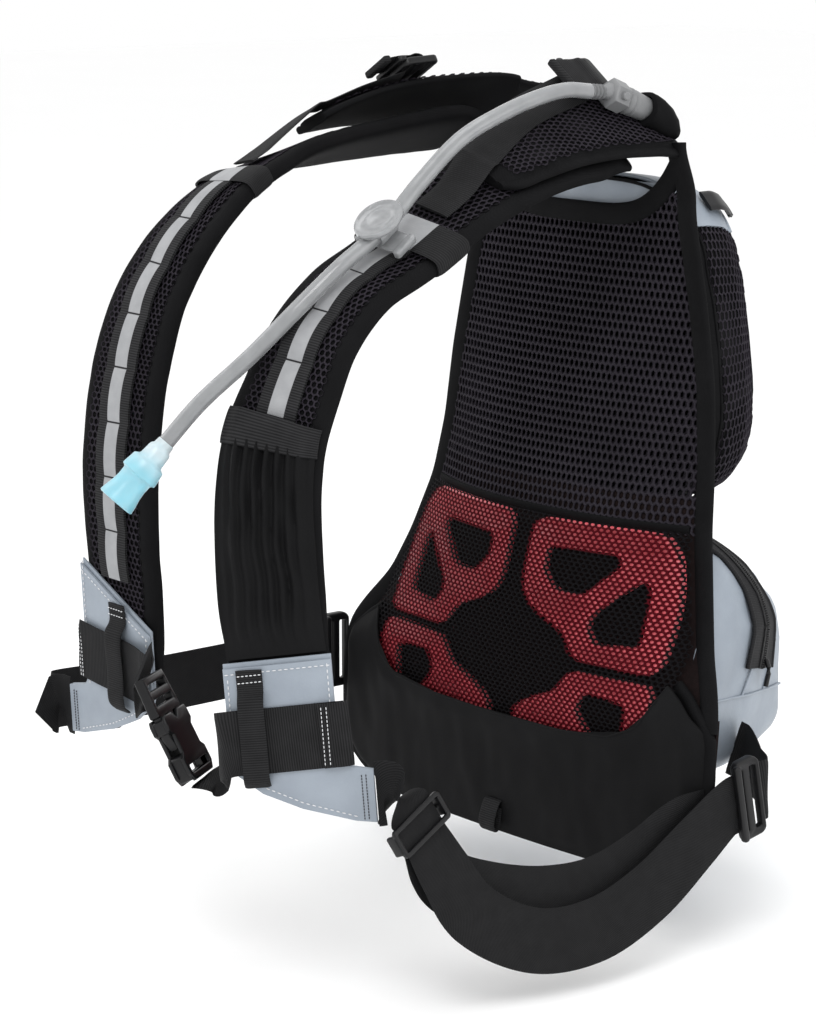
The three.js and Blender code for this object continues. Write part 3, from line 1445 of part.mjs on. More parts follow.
// The stub behind the left lock ends on the side of the lower bag.
function leftStubRows() {
  const [angle, deep] = [-20, 0.45];
  const { round, out } = bagFrame(LOWER_BAG, angle, deep);
  const seat = { point: onBag(LOWER_BAG, angle, deep, 2 * GAP), way: out.negate(), wide: round };
  return sideRoute(1, besideLock(1, 1, 2 * GAP), seat, SIDE_LEFT_STUB);
}

// Assembly

const pack = new THREE.Group();
const add = (name, geometry, look) => pack.add(node(name, geometry, look));
const SIDES = [
  [1, "left"],
  [-1, "right"],
];

add("back_panel", makeBackPanel(), BLACK_NET);
add("panel_binding", makePanelBinding(), BLACK_CLOTH);
add("lumbar_base", makeLumbarBase(), BLACK_CLOTH);
add("lumbar_net", makeLumbarNet(), BLACK_NET);
for (const [side, word] of SIDES) {
  add("pad_upper_" + word, makePad(side, false), RED_PAD);
  add("pad_lower_" + word, makePad(side, true), RED_PAD);
}
add("lower_pocket", makeLowerPocket(), BLACK_CLOTH);
add("bottom_loop", makeBottomLoop(), BLACK_WEB);

add("upper_bag", makeBag(UPPER_BAG, COATED_CLOTH), BLACK_CLOTH);
add("top_cover", makeTopCover(), GREY_COATED);
add("lower_bag", makeBag(LOWER_BAG, COATED_CLOTH), GREY_COATED);
add("bag_zip", makeZip(), BLACK_WEB);

add("neck_yoke", makeYoke(), BLACK_CLOTH);
for (const [side, word] of SIDES) {
  add("bag_tag_" + word, makeBagTag(side), BLACK_PLASTIC);
  add("shoulder_strap_" + word, makeShoulderStrap(side), BLACK_CLOTH);
  add("strap_webbing_" + word, makeStrapWebbing(side), BLACK_WEB);
  add("cross_band_" + word, makeCrossBand(side), BLACK_WEB);
  add("lifter_strap_" + word, makeLifterStrap(side), BLACK_WEB);
  add("lifter_buckle_" + word, makeLifterBuckle(side), BLACK_PLASTIC);
  add("strap_tab_" + word, makeStrapTab(side), GREY_COATED);
  add("keeper_" + word, makeKeeper(side), BLACK_WEB);
  add("belt_web_" + word, makeBeltWeb(side), BLACK_WEB);
  add("side_adjuster_" + word, makeLadderLock(side), BLACK_PLASTIC);
}
add("strap_pocket_left", makeStrapPocket(), BLACK_CLOTH);
add("pocket_band_left", makePocketBand(), BLACK_WEB);
add("buckle_male", makeBuckleMale(), BLACK_PLASTIC);
add("buckle_female", makeBuckleFemale(), BLACK_PLASTIC);
add("side_strap_left", webbing(leftOuterRows, BELT_WEB, WEB_THICK, 3), BLACK_WEB);
add("side_return_left", webbing(leftInnerRows(), BELT_WEB, WEB_THICK, 3), BLACK_WEB);
add("side_stub_left", webbing(leftStubRows(), BELT_WEB, WEB_THICK, 3), BLACK_WEB);
add("side_strap_right", webbing(rightRows, BELT_WEB, WEB_THICK, 3), BLACK_WEB);
add("side_slider_left", makeSlider(leftOuterRows, LEFT_SLIDER_AT, LEFT_SLIDER_LENGTH), BLACK_PLASTIC);
add("side_slider_right", makeSlider(rightRows, RIGHT_SLIDER_AT, RIGHT_SLIDER_LENGTH), BLACK_PLASTIC);

add("drink_tube", makeHose(), CLEAR_HOSE);
add("tube_connector", makeConnector(), GREY_PLASTIC);
add("hose_port_sleeve", makePortSleeve(), BLACK_CLOTH);
add("tube_clip", makeTubeClip(), CLEAR_HOSE);
add("bite_valve", makeBiteValve(), VALVE_BLUE);

export default pack;
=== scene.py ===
"""A hydration pack of the vest type, in its worn form, under soft studio light.

Shapes are worked out in millimetres in the part's own frame (+X left, +Y backwards, +Z up) and
become metres when a piece is made.
"""
import math

import bmesh
import bpy
import numpy as np
from mathutils import Matrix, Vector, noise


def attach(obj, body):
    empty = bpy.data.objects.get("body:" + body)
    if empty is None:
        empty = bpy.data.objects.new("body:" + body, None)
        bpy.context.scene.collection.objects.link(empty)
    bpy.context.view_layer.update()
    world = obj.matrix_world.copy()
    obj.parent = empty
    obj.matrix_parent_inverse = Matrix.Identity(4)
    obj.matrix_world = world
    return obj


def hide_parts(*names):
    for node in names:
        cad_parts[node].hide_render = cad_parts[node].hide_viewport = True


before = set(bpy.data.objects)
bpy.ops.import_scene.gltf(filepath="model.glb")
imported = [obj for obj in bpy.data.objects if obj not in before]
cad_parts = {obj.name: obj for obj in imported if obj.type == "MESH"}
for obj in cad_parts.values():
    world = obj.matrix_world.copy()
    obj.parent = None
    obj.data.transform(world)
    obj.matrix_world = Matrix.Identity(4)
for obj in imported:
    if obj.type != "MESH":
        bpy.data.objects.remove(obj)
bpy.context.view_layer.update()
BODY = "root"
MM = 0.001

# Camera and floor, in metres
CAMERA_PLACE = (1.43739, -1.34642, 0.16305)
CAMERA_LOOK = (-0.751, 0.630, -0.198)
CAMERA_LENS = 108.98
FLOOR_HEIGHT = -0.475
FLOOR_REACH = 9.0
LAMP_AIM = Vector((0.0, -0.12, -0.15))

# The hose's route from the connector to the bite valve, in metres
HOSE_ROUTE = [
    (0.0750, -0.0620, 0.0425),
    (0.0755, -0.0800, 0.0440),
    (0.0760, -0.1020, 0.0410),
    (0.0770, -0.1350, 0.0320),
    (0.0780, -0.1670, 0.0190),
    (0.0790, -0.1980, -0.0040),
    (0.0800, -0.2260, -0.0280),
    (0.0800, -0.2585, -0.0480),
    (0.0730, -0.2830, -0.0700),
    (0.0590, -0.3060, -0.0965),
    (0.0450, -0.3310, -0.1220),
    (0.0360, -0.3510, -0.1460),
]
HOSE_WIDTH = 9.5
HOSE_BORE = 6.4

# Sizes in millimetres, most of them shared with the solids, and shares
GAP = 0.35
WEB_THICK = 1.8
PANEL_TOP = 8
PANEL_HEIGHT = 443
PANEL_HALF = 176
PANEL_LEAN = 58
SIDE_CURVE = 2.2
BINDING_WIDTH = 14
BINDING_THICK = 7
HORN_WIDTH = 10
HORN_LEAN = 8
SCOOP_DEPTH = 40
NET_SPLIT = PANEL_TOP - 0.528 * PANEL_HEIGHT
PAD_WIDTH = 0.676 * PANEL_HALF
PAD_HEIGHT = 83
PAD_THICK = 6
PAD_FROM_MIDDLE = 9
PAD_ROW_GAP = 5
POCKET_THICK = 1.2
LOOP_WEB = 15
LOOP_UP = 21
UPPER_BAG_DEPTH = 72
UPPER_BAG_TOP = PANEL_TOP - 0.054 * PANEL_HEIGHT
UPPER_BAG_BOTTOM = PANEL_TOP - 0.517 * PANEL_HEIGHT
LOWER_BAG_DEPTH = 100
LOWER_BAG_TOP = UPPER_BAG_BOTTOM - 4
LOWER_BAG_BOTTOM = PANEL_TOP - 0.912 * PANEL_HEIGHT
BAG_INSET = 6
ZIP_WIDTH = 24
STRAP_WIDTH = 62
STRAP_THICK = 12
STRAP_SPREAD = 80
STRAP_REACH = 313
STRAP_DROP = 268
STRAP_LENGTH = 500
DAISY_WIDTH = 25
TACK_STEP = 33
BAND_LENGTH = 20
BAND_SHARE = BAND_LENGTH / 560
BAND_AT = {1: 0.365, -1: 0.385}
POCKET_FROM = 0.66
YOKE_SPREAD = 70
YOKE_REACH = 150
YOKE_RISE = 30
YOKE_HALF = 30
YOKE_THICK = 6
BELT_WEB = 38
KEEPER_WEB = 15
BUCKLE_WIDTH = 48
BUCKLE_THICK = 11
BUCKLE_LENGTH = 42
LIFTER_WEB = 25
TAB_THICK = 4
TAB_WING = 50
TAB_AT = 0.992
WING_DOWN = 84
LOCK_LENGTH = 20
LOCK_THICK = 6
SIDE_BOW = 28
SIDE_SAG = 80
END_STRAIGHT = 6
SLOT_HEIGHT = 4.2
SIDES = ((1, "left"), (-1, "right"))

# The net's cells, wide and tall, and the width of a strand
PANEL_CELL = (4.5, 7.2)
STRAP_CELL = (3.9, 5.2)
NET_CELL = (4.7, 3.4)
STRAND = 1.15
# Corners of neighbouring cells are one point when they agree to a share of a millimetre.
NET_ROUNDING = 50
NET_OVER_PADS = PAD_THICK + 1.2


def table(names, rows):
    """Rows of numbers under named columns."""
    return [dict(zip(names.split(), row)) for row in rows]


PANEL_ROWS = table("down half mid edge", [
    (0.0, 0.557, -0.05, -0.09),
    (0.1, 0.568, 0.0, -0.09),
    (0.22, 0.636, 0.1, -0.09),
    (0.33, 0.69, 0.22, -0.07),
    (0.44, 0.716, 0.41, -0.03),
    (0.53, 0.744, 0.62, 0.07),
    (0.62, 0.81, 0.81, 0.24),
    (0.69, 0.875, 0.93, 0.42),
    (0.735, 0.955, 0.97, 0.62),
    (0.77, 1.0, 0.99, 0.76),
    (0.81, 1.0, 1.0, 0.79),
    (0.92, 0.99, 1.0, 0.83),
    (0.955, 0.95, 0.99, 0.85),
    (0.98, 0.86, 0.98, 0.86),
    (1.0, 0.7, 0.98, 0.86),
])
PAD_OUTLINE = table("across down", [
    (0.0, 0.07), (0.06, 0.0), (0.8, 0.0), (0.87, 0.05), (0.93, 0.16), (0.98, 0.4), (1.0, 0.6),
    (1.0, 0.94), (0.95, 1.0), (0.43, 0.99), (0.35, 0.81), (0.19, 0.73), (0.04, 0.62), (0.0, 0.46),
])
PAD_WINDOWS = (
    table("across down", [
        (0.145, 0.2), (0.6, 0.19), (0.63, 0.26), (0.44, 0.51), (0.25, 0.51), (0.145, 0.38),
    ]),
    table("across down", [
        (0.77, 0.35), (0.82, 0.4), (0.84, 0.82), (0.56, 0.85), (0.5, 0.72), (0.53, 0.63),
    ]),
)
# The pocket's upper edge, its mouth first and then the wing's top, and its lower edge.
POCKET_TOP_ROWS = table("across down", [
    (0.0, 0.822), (0.35, 0.82), (0.58, 0.812), (0.7, 0.79), (0.755, 0.755), (0.79, 0.728),
    (0.86, 0.745), (0.95, 0.775), (1.0, 0.8),
])
POCKET_LOW_ROWS = table("across down", [
    (0.0, 1.0), (0.7, 1.0), (0.86, 0.98), (0.95, 0.955), (0.99, 0.92), (1.0, 0.9),
])
BAG_NAMES = "deep wide top bottom"
UPPER_BAG = {
    "rows": table(BAG_NAMES, [
        (0.0, 1.0, 0.0, 1.0), (0.3, 0.99, 0.005, 0.995), (0.55, 0.95, 0.02, 0.975),
        (0.78, 0.87, 0.06, 0.94), (0.93, 0.76, 0.12, 0.88), (1.0, 0.58, 0.21, 0.78),
    ]),
    "depth": UPPER_BAG_DEPTH, "top": UPPER_BAG_TOP, "bottom": UPPER_BAG_BOTTOM, "power": 4.5,
}
UPPER_SEED = 40
LOWER_SEED = 90
LOWER_BAG = {
    "rows": table(BAG_NAMES, [
        (0.0, 0.98, 0.0, 1.0), (0.25, 0.96, 0.02, 0.995), (0.5, 0.9, 0.09, 0.985),
        (0.72, 0.82, 0.19, 0.96), (0.9, 0.72, 0.3, 0.92), (1.0, 0.5, 0.44, 0.82),
    ]),
    "depth": LOWER_BAG_DEPTH, "top": LOWER_BAG_TOP, "bottom": LOWER_BAG_BOTTOM, "power": 5,
}
ZIP_ROWS = table("angle deep", [(-5, 0.6), (15, 0.52), (35, 0.36), (55, 0.2), (90, 0.15)])
ZIP_END = 0.61
ZIP_CORNER = 0.87
STRAP_NAMES = "out fore drop turn"
STRAP_ROWS = {
    1: table(STRAP_NAMES, [
        (0.86, 0.11, -0.045, 32), (0.85, 0.2, -0.05, 32), (0.86, 0.305, -0.035, 30),
        (0.89, 0.415, 0.0, 26), (0.92, 0.55, 0.063, 20), (0.95, 0.68, 0.149, 14),
        (0.97, 0.8, 0.213, 12), (0.99, 0.891, 0.306, 14), (1.0, 0.949, 0.425, 20),
        (1.0, 0.985, 0.53, 28), (1.01, 1.0, 0.64, 34), (1.02, 1.0, 0.754, 40),
        (1.05, 0.997, 0.881, 44), (1.09, 0.99, 1.0, 46),
    ]),
    -1: table(STRAP_NAMES, [
        (0.85, 0.11, -0.055, 26), (0.85, 0.2, -0.064, 26), (0.86, 0.33, -0.055, 24),
        (0.9, 0.534, -0.028, 18), (0.93, 0.64, 0.01, 12), (0.95, 0.728, 0.06, 6),
        (0.97, 0.82, 0.155, 0), (1.0, 0.891, 0.276, -4), (1.0, 0.933, 0.396, -7),
        (1.0, 0.958, 0.515, -8), (1.0, 0.974, 0.675, -8), (1.02, 0.97, 0.836, -6),
        (1.05, 0.955, 0.98, -4),
    ]),
}
YOKE_ROWS = table("out fore rise slope neck outer", [
    (1.05, 0.99, 0.02, 24, 0.62, 0.66),
    (1.04, 0.92, 0.15, 26, 0.84, 0.9),
    (1.02, 0.8, 0.42, 30, 0.92, 1.02),
    (0.99, 0.6, 0.74, 34, 0.95, 1.14),
    (0.97, 0.37, 0.93, 38, 0.95, 1.2),
    (0.93, 0.17, 0.95, 38, 0.95, 1.26),
    (0.78, 0.01, 0.92, 38, 0.87, 1.36),
    (0.46, -0.05, 0.87, 38, 0.82, 1.1),
    (0.0, -0.06, 0.86, 38, 0.8, 1.05),
    (-0.46, -0.05, 0.92, 38, 0.82, 1.1),
    (-0.78, 0.01, 0.99, 38, 0.87, 1.36),
    (-0.93, 0.17, 1.1, 34, 0.95, 1.26),
    (-0.97, 0.37, 1.14, 31, 0.95, 1.2),
    (-0.99, 0.6, 1.12, 29, 0.95, 1.1),
    (-1.01, 0.8, 1.03, 26, 0.92, 1.0),
    (-1.03, 0.98, 0.86, 22, 0.84, 0.9),
    (-1.04, 1.06, 0.74, 20, 0.62, 0.66),
])
SLIDER_WIDE = (-0.3, 0.85, 0.4)
SIDE_NAMES = "along bow sag wide"
SIDE_LEFT_OUTER = table(SIDE_NAMES, [
    (0.051, 0.386, 0.074, SLIDER_WIDE),
    (0.0686, 0.475, 0.188, SLIDER_WIDE),
    (0.0865, 0.564, 0.301, SLIDER_WIDE),
    (0.119, 0.78, 0.525, (-0.2, 0.7, 0.6)),
    (0.168, 1.0, 0.786, (-0.1, 0.5, 0.8)),
    (0.343, 0.94, 1.0, (-0.2, 0.2, 0.95)),
    (0.526, 0.79, 0.93, (-0.25, 0.0, 0.95)),
    (0.7, 0.54, 0.665, (-0.2, -0.2, 0.95)),
    (0.859, 0.29, 0.285, (-0.1, -0.3, 0.95)),
])
SIDE_LEFT_INNER = table(SIDE_NAMES, [
    (0.035, 0.076, 0.254, (-0.25, 0.75, 0.5)),
    (0.093, 0.11, 0.39, (-0.1, 0.5, 0.8)),
    (0.216, 0.13, 0.486, (-0.1, 0.4, 0.9)),
    (0.413, 0.15, 0.54, (-0.2, 0.2, 0.95)),
    (0.6, 0.15, 0.48, (-0.25, 0.0, 0.95)),
    (0.767, 0.12, 0.28, (-0.2, -0.2, 0.95)),
    (0.904, 0.08, 0.05, (-0.05, 0.0, 1.0)),
])
SIDE_LEFT_STUB = table(SIDE_NAMES, [(0.55, 0.45, 0.04, (0.1, -0.1, 1.0))])
SIDE_RIGHT = table(SIDE_NAMES, [
    (0.0, 0.78, 0.03, (0.0, 0.0, 1.0)),
    (0.027, 1.06, 0.04, (0.0, 0.0, 1.0)),
    (0.118, 1.0, 0.04, (0.0, 0.0, 1.0)),
    (0.298, 0.65, 0.045, (0.0, 0.0, 1.0)),
    (0.555, 0.3, 0.02, (0.0, 0.05, 1.0)),
    (0.77, 0.12, 0.0, (0.0, 0.05, 1.0)),
])


# Small tools

def vec(*numbers):
    return np.array(numbers, float)


def unit(v):
    return v / np.linalg.norm(v)


def clamp(value):
    return min(1.0, max(0.0, value))


def mix(a, b, share):
    return a + (b - a) * share


def ease(share):
    share = np.clip(share, 0.0, 1.0)
    return share * share * (3 - 2 * share)


def ripple(x, y, z, size):
    """Soft random height between about -1 and 1, the same each run."""
    return noise.noise(Vector((x / size, y / size, z / size)))


def column(rows, key, place):
    """A column of a table at a place between its rows, on a smooth curve through them."""
    t = clamp(place) * (len(rows) - 1)
    i = min(len(rows) - 2, int(t))
    f = t - i
    b = rows[i][key]
    c = rows[i + 1][key]
    a = rows[i - 1][key] if i else 2 * b - c
    d = rows[i + 2][key] if i + 2 < len(rows) else 2 * c - b
    cubic = 3 * b - a - 3 * c + d
    return 0.5 * (2 * b + (c - a) * f + (2 * a - 5 * b + 4 * c - d) * f * f + cubic * f ** 3)


def look_up(rows, at, key, place):
    """A column of a table whose first key gives uneven places, by straight steps."""
    return np.interp(place, [r[at] for r in rows], [r[key] for r in rows])


class Path:
    """A smooth curve through points, with places from 0 to 1."""

    def __init__(self, points):
        self.points = [np.array(p, float) for p in points]

    def point(self, place):
        p = self.points
        k = clamp(place) * (len(p) - 1)
        i = min(len(p) - 2, int(k))
        f = k - i
        b = p[i]
        c = p[i + 1]
        a = p[i - 1] if i else 2 * b - c
        d = p[i + 2] if i + 2 < len(p) else 2 * c - b
        before, here, after = (max(np.linalg.norm(q), 1e-6) ** 0.5 for q in (b - a, c - b, d - c))
        start = ((b - a) / before - (c - a) / (before + here) + (c - b) / here) * here
        end = ((c - b) / here - (d - b) / (here + after) + (d - c) / after) * here
        return b + start * f + (3 * (c - b) - 2 * start - end) * f ** 2 + (2 * (b - c) + start + end) * f ** 3

    def tangent(self, place, step=0.0005):
        return unit(self.point(min(1, place + step)) - self.point(max(0, place - step)))

    def sampled(self, count):
        return np.array([self.point(i / (count - 1)) for i in range(count)])


def over_grid(value, rows, others):
    """A function of two numbers, worked out over two grids."""
    return np.array([[value(a, b) for a, b in zip(*pair)] for pair in zip(rows, others)])


def distances(points):
    """How far along a line of points each one lies."""
    steps = np.linalg.norm(np.diff(np.asarray(points), axis=0), axis=1)
    return np.concatenate([[0.0], np.cumsum(steps)])


def placed(points, origin, across, along):
    """Puts a piece's own x, y and z on three directions in space."""
    y = unit(np.asarray(along, float))
    x = unit(across - y * np.dot(across, y))
    z = np.cross(x, y)
    return origin + np.asarray(points) @ np.array([x, y, z])


# Making meshes

class Shape:
    """The points and faces of one piece in millimetres, with UVs in millimetres."""

    def __init__(self):
        self.points = []
        self.faces = []
        self.uvs = []
        self.slots = []

    def add(self, points, faces, slot=0):
        start = len(self.points)
        self.points.extend(points)
        for face in faces:
            self.faces.append(tuple(start + i for i in face))
            self.uvs.extend((points[i][0], points[i][2]) for i in face)
            self.slots.append(slot)

    def loft(self, rings, across=None, along=None, looped=False, slot=0):
        """A surface through rings of equal length, joined end to end or capped."""
        rings = np.asarray(rings, float)
        count, n = rings.shape[:2]
        start = len(self.points)
        self.points.extend(rings.reshape(-1, 3))
        across = np.arange(n + 1.0) if across is None else across
        along = distances(rings.mean(axis=1)) if along is None else along
        if looped:
            along = [*along, along[-1] + 1]
        for r in range(count if looped else count - 1):
            here = start + r * n
            then = start + (r + 1) % count * n
            for k in range(n):
                j = (k + 1) % n
                self.faces.append((here + k, here + j, then + j, then + k))
                a, b, c, d = across[k], across[k + 1], along[r], along[r + 1]
                self.uvs.extend(((a, c), (b, c), (b, d), (a, d)))
                self.slots.append(slot)
        if not looped:
            for r in (0, count - 1):
                self.faces.append(tuple(start + r * n + k for k in range(n)))
                self.uvs.extend((across[k], along[r]) for k in range(n))
                self.slots.append(slot)

    def slab(self, front, back, us, vs):
        """A closed sheet between two grids of points, rows by columns."""
        rings = np.concatenate([front, back[:, ::-1]], axis=1)
        across = [*us, *us[::-1], us[0]]
        self.loft(rings, across, vs)

    def tube(self, points, radius, sides=10, slot=0, flat=1.0, up=(0.0, 0.0, 1.0)):
        """A round or flattened cord along points, with its ends closed."""
        points = np.asarray(points, float)
        radii = np.broadcast_to(radius, len(points))
        tangents = np.gradient(points, axis=0)
        angles = np.arange(sides) * 2 * math.pi / sides
        rings = []
        for p, t, r in zip(points, tangents, radii):
            x = unit(np.cross(t, up))
            y = unit(np.cross(x, t))
            rings.append([p + r * (math.cos(a) * x + flat * math.sin(a) * y) for a in angles])
        self.loft(rings, slot=slot)

    def turned(self, rows, origin, direction, sides=40):
        """A turned piece along a direction: rows of distance and radius."""
        z = unit(np.asarray(direction, float))
        x = unit(np.cross(z, vec(0, 0, 1)))
        y = np.cross(z, x)
        angles = (np.arange(sides) + 0.5) * 2 * math.pi / sides
        rings = [[origin + z * d + r * (math.cos(a) * x + math.sin(a) * y) for a in angles] for d, r in rows]
        self.loft(rings)

    def ribbon(self, rows, width, thick, steps, slot=0):
        """Webbing by a list of places, each with the direction of its width."""
        path = Path([r[0] for r in rows])
        total = steps * (len(rows) - 1)
        shares = np.linspace(-1, 1, 11)
        edge = 1 - 0.75 * np.abs(shares) ** 8
        rings = []
        middles = []
        for i in range(total + 1):
            t = i / total
            k = t * (len(rows) - 1)
            a = min(len(rows) - 2, int(k))
            along = path.tangent(t)
            side = mix(unit(vec(*rows[a][1])), unit(vec(*rows[a + 1][1])), k - a)
            side = unit(side - along * np.dot(side, along))
            face = np.cross(along, side)
            middle = path.point(t)
            front = [middle + side * s * width / 2 + face * thick / 2 * e for s, e in zip(shares, edge)]
            back = [middle + side * s * width / 2 - face * thick / 2 * e for s, e in zip(shares, edge)]
            rings.append(front + back[::-1])
            middles.append(middle)
        us = shares * width / 2
        self.loft(rings, [*us, *us[::-1], us[0]], distances(middles), slot=slot)

    def plate(self, outline, windows, thick, bevel, seat, lift=0.0, slot=0):
        """A flat plate on a seat, which is its middle and the ways across and along it."""
        points, faces = plate(outline, windows, thick, bevel)
        self.add(placed(points + vec(0, 0, lift), *seat), faces, slot)

    def piece(self, name, materials, sharp=40):
        """Makes the Blender object, its faces pointing outwards."""
        mesh = bpy.data.meshes.new(name)
        mesh.from_pydata([tuple(p) for p in np.asarray(self.points) * MM], [], self.faces)
        layer = mesh.uv_layers.new(name="mm")
        layer.data.foreach_set("uv", np.asarray(self.uvs, float).ravel())
        mesh.polygons.foreach_set("material_index", self.slots)
        for material in materials:
            mesh.materials.append(material)
        return dressed(name, mesh, sharp)


def dressed(name, mesh, sharp=40, recalculate=True):
    """An object of a mesh at the origin, smooth but for its sharp edges."""
    if recalculate:
        form = bmesh.new()
        form.from_mesh(mesh)
        bmesh.ops.remove_doubles(form, verts=form.verts, dist=1e-6)
        bmesh.ops.recalc_face_normals(form, faces=form.faces)
        form.to_mesh(mesh)
        form.free()
    mesh.polygons.foreach_set("use_smooth", [True] * len(mesh.polygons))
    mesh.set_sharp_from_angle(angle=math.radians(sharp))
    piece = bpy.data.objects.new(name, mesh)
    bpy.context.scene.collection.objects.link(piece)
    return piece


def evaluated(piece):
    """A plain mesh of an object with its modifiers or curve bevel applied."""
    graph = bpy.context.evaluated_depsgraph_get()
    return bpy.data.meshes.new_from_object(piece.evaluated_get(graph))


def plate(outline, windows, thick, bevel=0.6):
    """Points and faces of a flat plate with windows and rounded rims, centred on its thickness."""
    curve = bpy.data.curves.new("plate", "CURVE")
    curve.dimensions = "2D"
    curve.fill_mode = "BOTH"
    curve.extrude = thick / 2 - bevel
    curve.bevel_depth = bevel
    curve.bevel_resolution = 2
    curve.offset = -bevel
    for ring in (outline, *windows):
        spline = curve.splines.new("POLY")
        spline.points.add(len(ring) - 1)
        spline.points.foreach_set("co", [c for x, y in ring for c in (x, y, 0.0, 1.0)])
        spline.use_cyclic_u = True
    holder = bpy.data.objects.new("plate", curve)
    bpy.context.scene.collection.objects.link(holder)
    mesh = evaluated(holder)
    points = np.array([v.co[:] for v in mesh.vertices])
    faces = [tuple(p.vertices) for p in mesh.polygons]
    bpy.data.objects.remove(holder)
    bpy.data.curves.remove(curve)
    bpy.data.meshes.remove(mesh)
    return points, faces


def rounded_box(width, height, radius, x=0.0, y=0.0):
    points = []
    for sx, sy, start in ((1, 1, 0), (-1, 1, 90), (-1, -1, 180), (1, -1, 270)):
        for turn in range(0, 91, 15):
            a = math.radians(start + turn)
            points.append((
                x + sx * (width / 2 - radius) + radius * math.cos(a),
                y + sy * (height / 2 - radius) + radius * math.sin(a),
            ))
    return points


def rounded_section(count, wide_power, tall_power, start=0.5):
    """Points round a box with rounded corners, as shares of its half width and half height."""
    points = []
    for i in range(count):
        a = (i + start) / count * 2 * math.pi
        points.append((
            math.copysign(abs(math.cos(a)) ** wide_power, math.cos(a)),
            math.copysign(abs(math.sin(a)) ** tall_power, math.sin(a)),
        ))
    return points


def slots(width, radius, *heights):
    """Webbing slots at heights on a plate."""
    return [rounded_box(width, SLOT_HEIGHT, radius, y=y) for y in heights]


class Skin:
    """A surface sampled once, so that many small things can be put on it quickly."""

    def __init__(self, point, us, vs, flip=1):
        self.us = np.asarray(us, float)
        self.vs = np.asarray(vs, float)
        self.points = np.array([[point(u, v) for u in us] for v in vs])
        normals = np.cross(np.gradient(self.points, axis=1), np.gradient(self.points, axis=0))
        self.normals = flip * normals / np.linalg.norm(normals, axis=2, keepdims=True)

    def at(self, u, v, out=0.0):
        u, v, out = np.broadcast_arrays(*(np.asarray(a, float) for a in (u, v, out)))
        i = np.interp(v, self.vs, np.arange(len(self.vs)))
        j = np.interp(u, self.us, np.arange(len(self.us)))
        i0 = np.minimum(i.astype(int), len(self.vs) - 2)
        j0 = np.minimum(j.astype(int), len(self.us) - 2)
        f = (i - i0)[..., None]
        g = (j - j0)[..., None]

        def blend(t):
            upper = t[i0, j0] * (1 - g) + t[i0, j0 + 1] * g
            lower = t[i0 + 1, j0] * (1 - g) + t[i0 + 1, j0 + 1] * g
            return upper * (1 - f) + lower * f

        return blend(self.points) + blend(self.normals) * out[..., None]

    def sheet(self, shape, us, vs, low, high, scale):
        """A closed sheet that lies on the surface between two heights."""
        u, v = np.meshgrid(us, vs)
        back = self.at(u, v, low(u, v) if callable(low) else low)
        front = self.at(u, v, high(u, v) if callable(high) else high)
        shape.slab(front, back, us * scale[0], vs * scale[1])


def hex_net(name, at, reach_u, reach_v, cell, keep, materials, thick=1.3, strand=STRAND, mask=None):
    """A knitted net of six-sided cells, each strand crowned on both faces."""
    wide, tall = cell
    rows = int((reach_v[1] - reach_v[0]) / (0.75 * tall)) + 1
    cols = int((reach_u[1] - reach_u[0]) / wide) + 1
    corners = ((0, 0.5), (0.5, 0.25), (0.5, -0.25), (0, -0.5), (-0.5, -0.25), (-0.5, 0.25))
    hole = 1 - strand / wide
    known = {}
    places = []
    faces = []

    def point(u, v, layer, shared=True):
        key = (round(u * NET_ROUNDING), round(v * NET_ROUNDING), layer)
        if shared and key in known:
            return known[key]
        places.append((u, v, layer * thick / 2))
        known[key] = len(places) - 1
        return known[key]

    for r in range(rows):
        for c in range(cols):
            u0 = reach_u[0] + (c + 0.5 * (r % 2)) * wide
            v0 = reach_v[0] + r * 0.75 * tall
            if not keep(u0, v0):
                continue
            front = [point(u0 + x * wide, v0 + y * tall, 1) for x, y in corners]
            back = [point(u0 + x * wide, v0 + y * tall, -1) for x, y in corners]
            rim = [point(u0 + x * wide * hole, v0 + y * tall * hole, 0, False) for x, y in corners]
            for k in range(6):
                j = (k + 1) % 6
                faces.append((front[k], front[j], rim[j], rim[k]))
                faces.append((back[j], back[k], rim[k], rim[j]))
    grid = np.array(places)
    points = at(grid[:, 0], grid[:, 1], grid[:, 2])
    mesh = bpy.data.meshes.new(name)
    mesh.from_pydata([tuple(p) for p in points * MM], [], faces)
    # A mask's value per point is kept as over_pad, by which the fine net's finish paints the pads' red light.
    if mask:
        layer = mesh.attributes.new("over_pad", "FLOAT", "POINT")
        layer.data.foreach_set("value", [mask(u, v) for u, v in grid[:, :2]])
    for material in materials:
        mesh.materials.append(material)
    piece = dressed(name, mesh, 180, recalculate=False)
    return outwards(piece, points, faces)


def outwards(piece, points, faces):
    """Turns a net's faces the other way where its first front face looks at its own back."""
    a, b, c = (points[i] for i in faces[0][:3])
    behind = points[faces[1][0]]
    if np.dot(np.cross(b - a, c - a), a - behind) < 0:
        piece.data.flip_normals()
    return piece


def repeat_along(name, lines, step, size, material):
    """Small rounded stitches or teeth at even steps along lines, made by Geometry Nodes."""
    mesh = bpy.data.meshes.new(name)
    points = []
    edges = []
    for line in lines:
        start = len(points)
        points.extend(tuple(np.asarray(p) * MM) for p in line)
        edges.extend((start + i, start + i + 1) for i in range(len(line) - 1))
    mesh.from_pydata(points, edges, [])
    holder = bpy.data.objects.new(name + "_line", mesh)
    bpy.context.scene.collection.objects.link(holder)
    modifier = holder.modifiers.new("stitches", "NODES")
    modifier.node_group = stitch_tree()
    sockets = {s.name: s.identifier for s in modifier.node_group.interface.items_tree}
    modifier[sockets["Step"]] = step * MM
    modifier[sockets["Size"]] = [c * MM for c in size]
    modifier[sockets["Finish"]] = material
    made = evaluated(holder)
    made.name = name
    bpy.data.objects.remove(holder)
    if not made.materials:
        made.materials.append(material)
    return dressed(name, made, 180, recalculate=False)


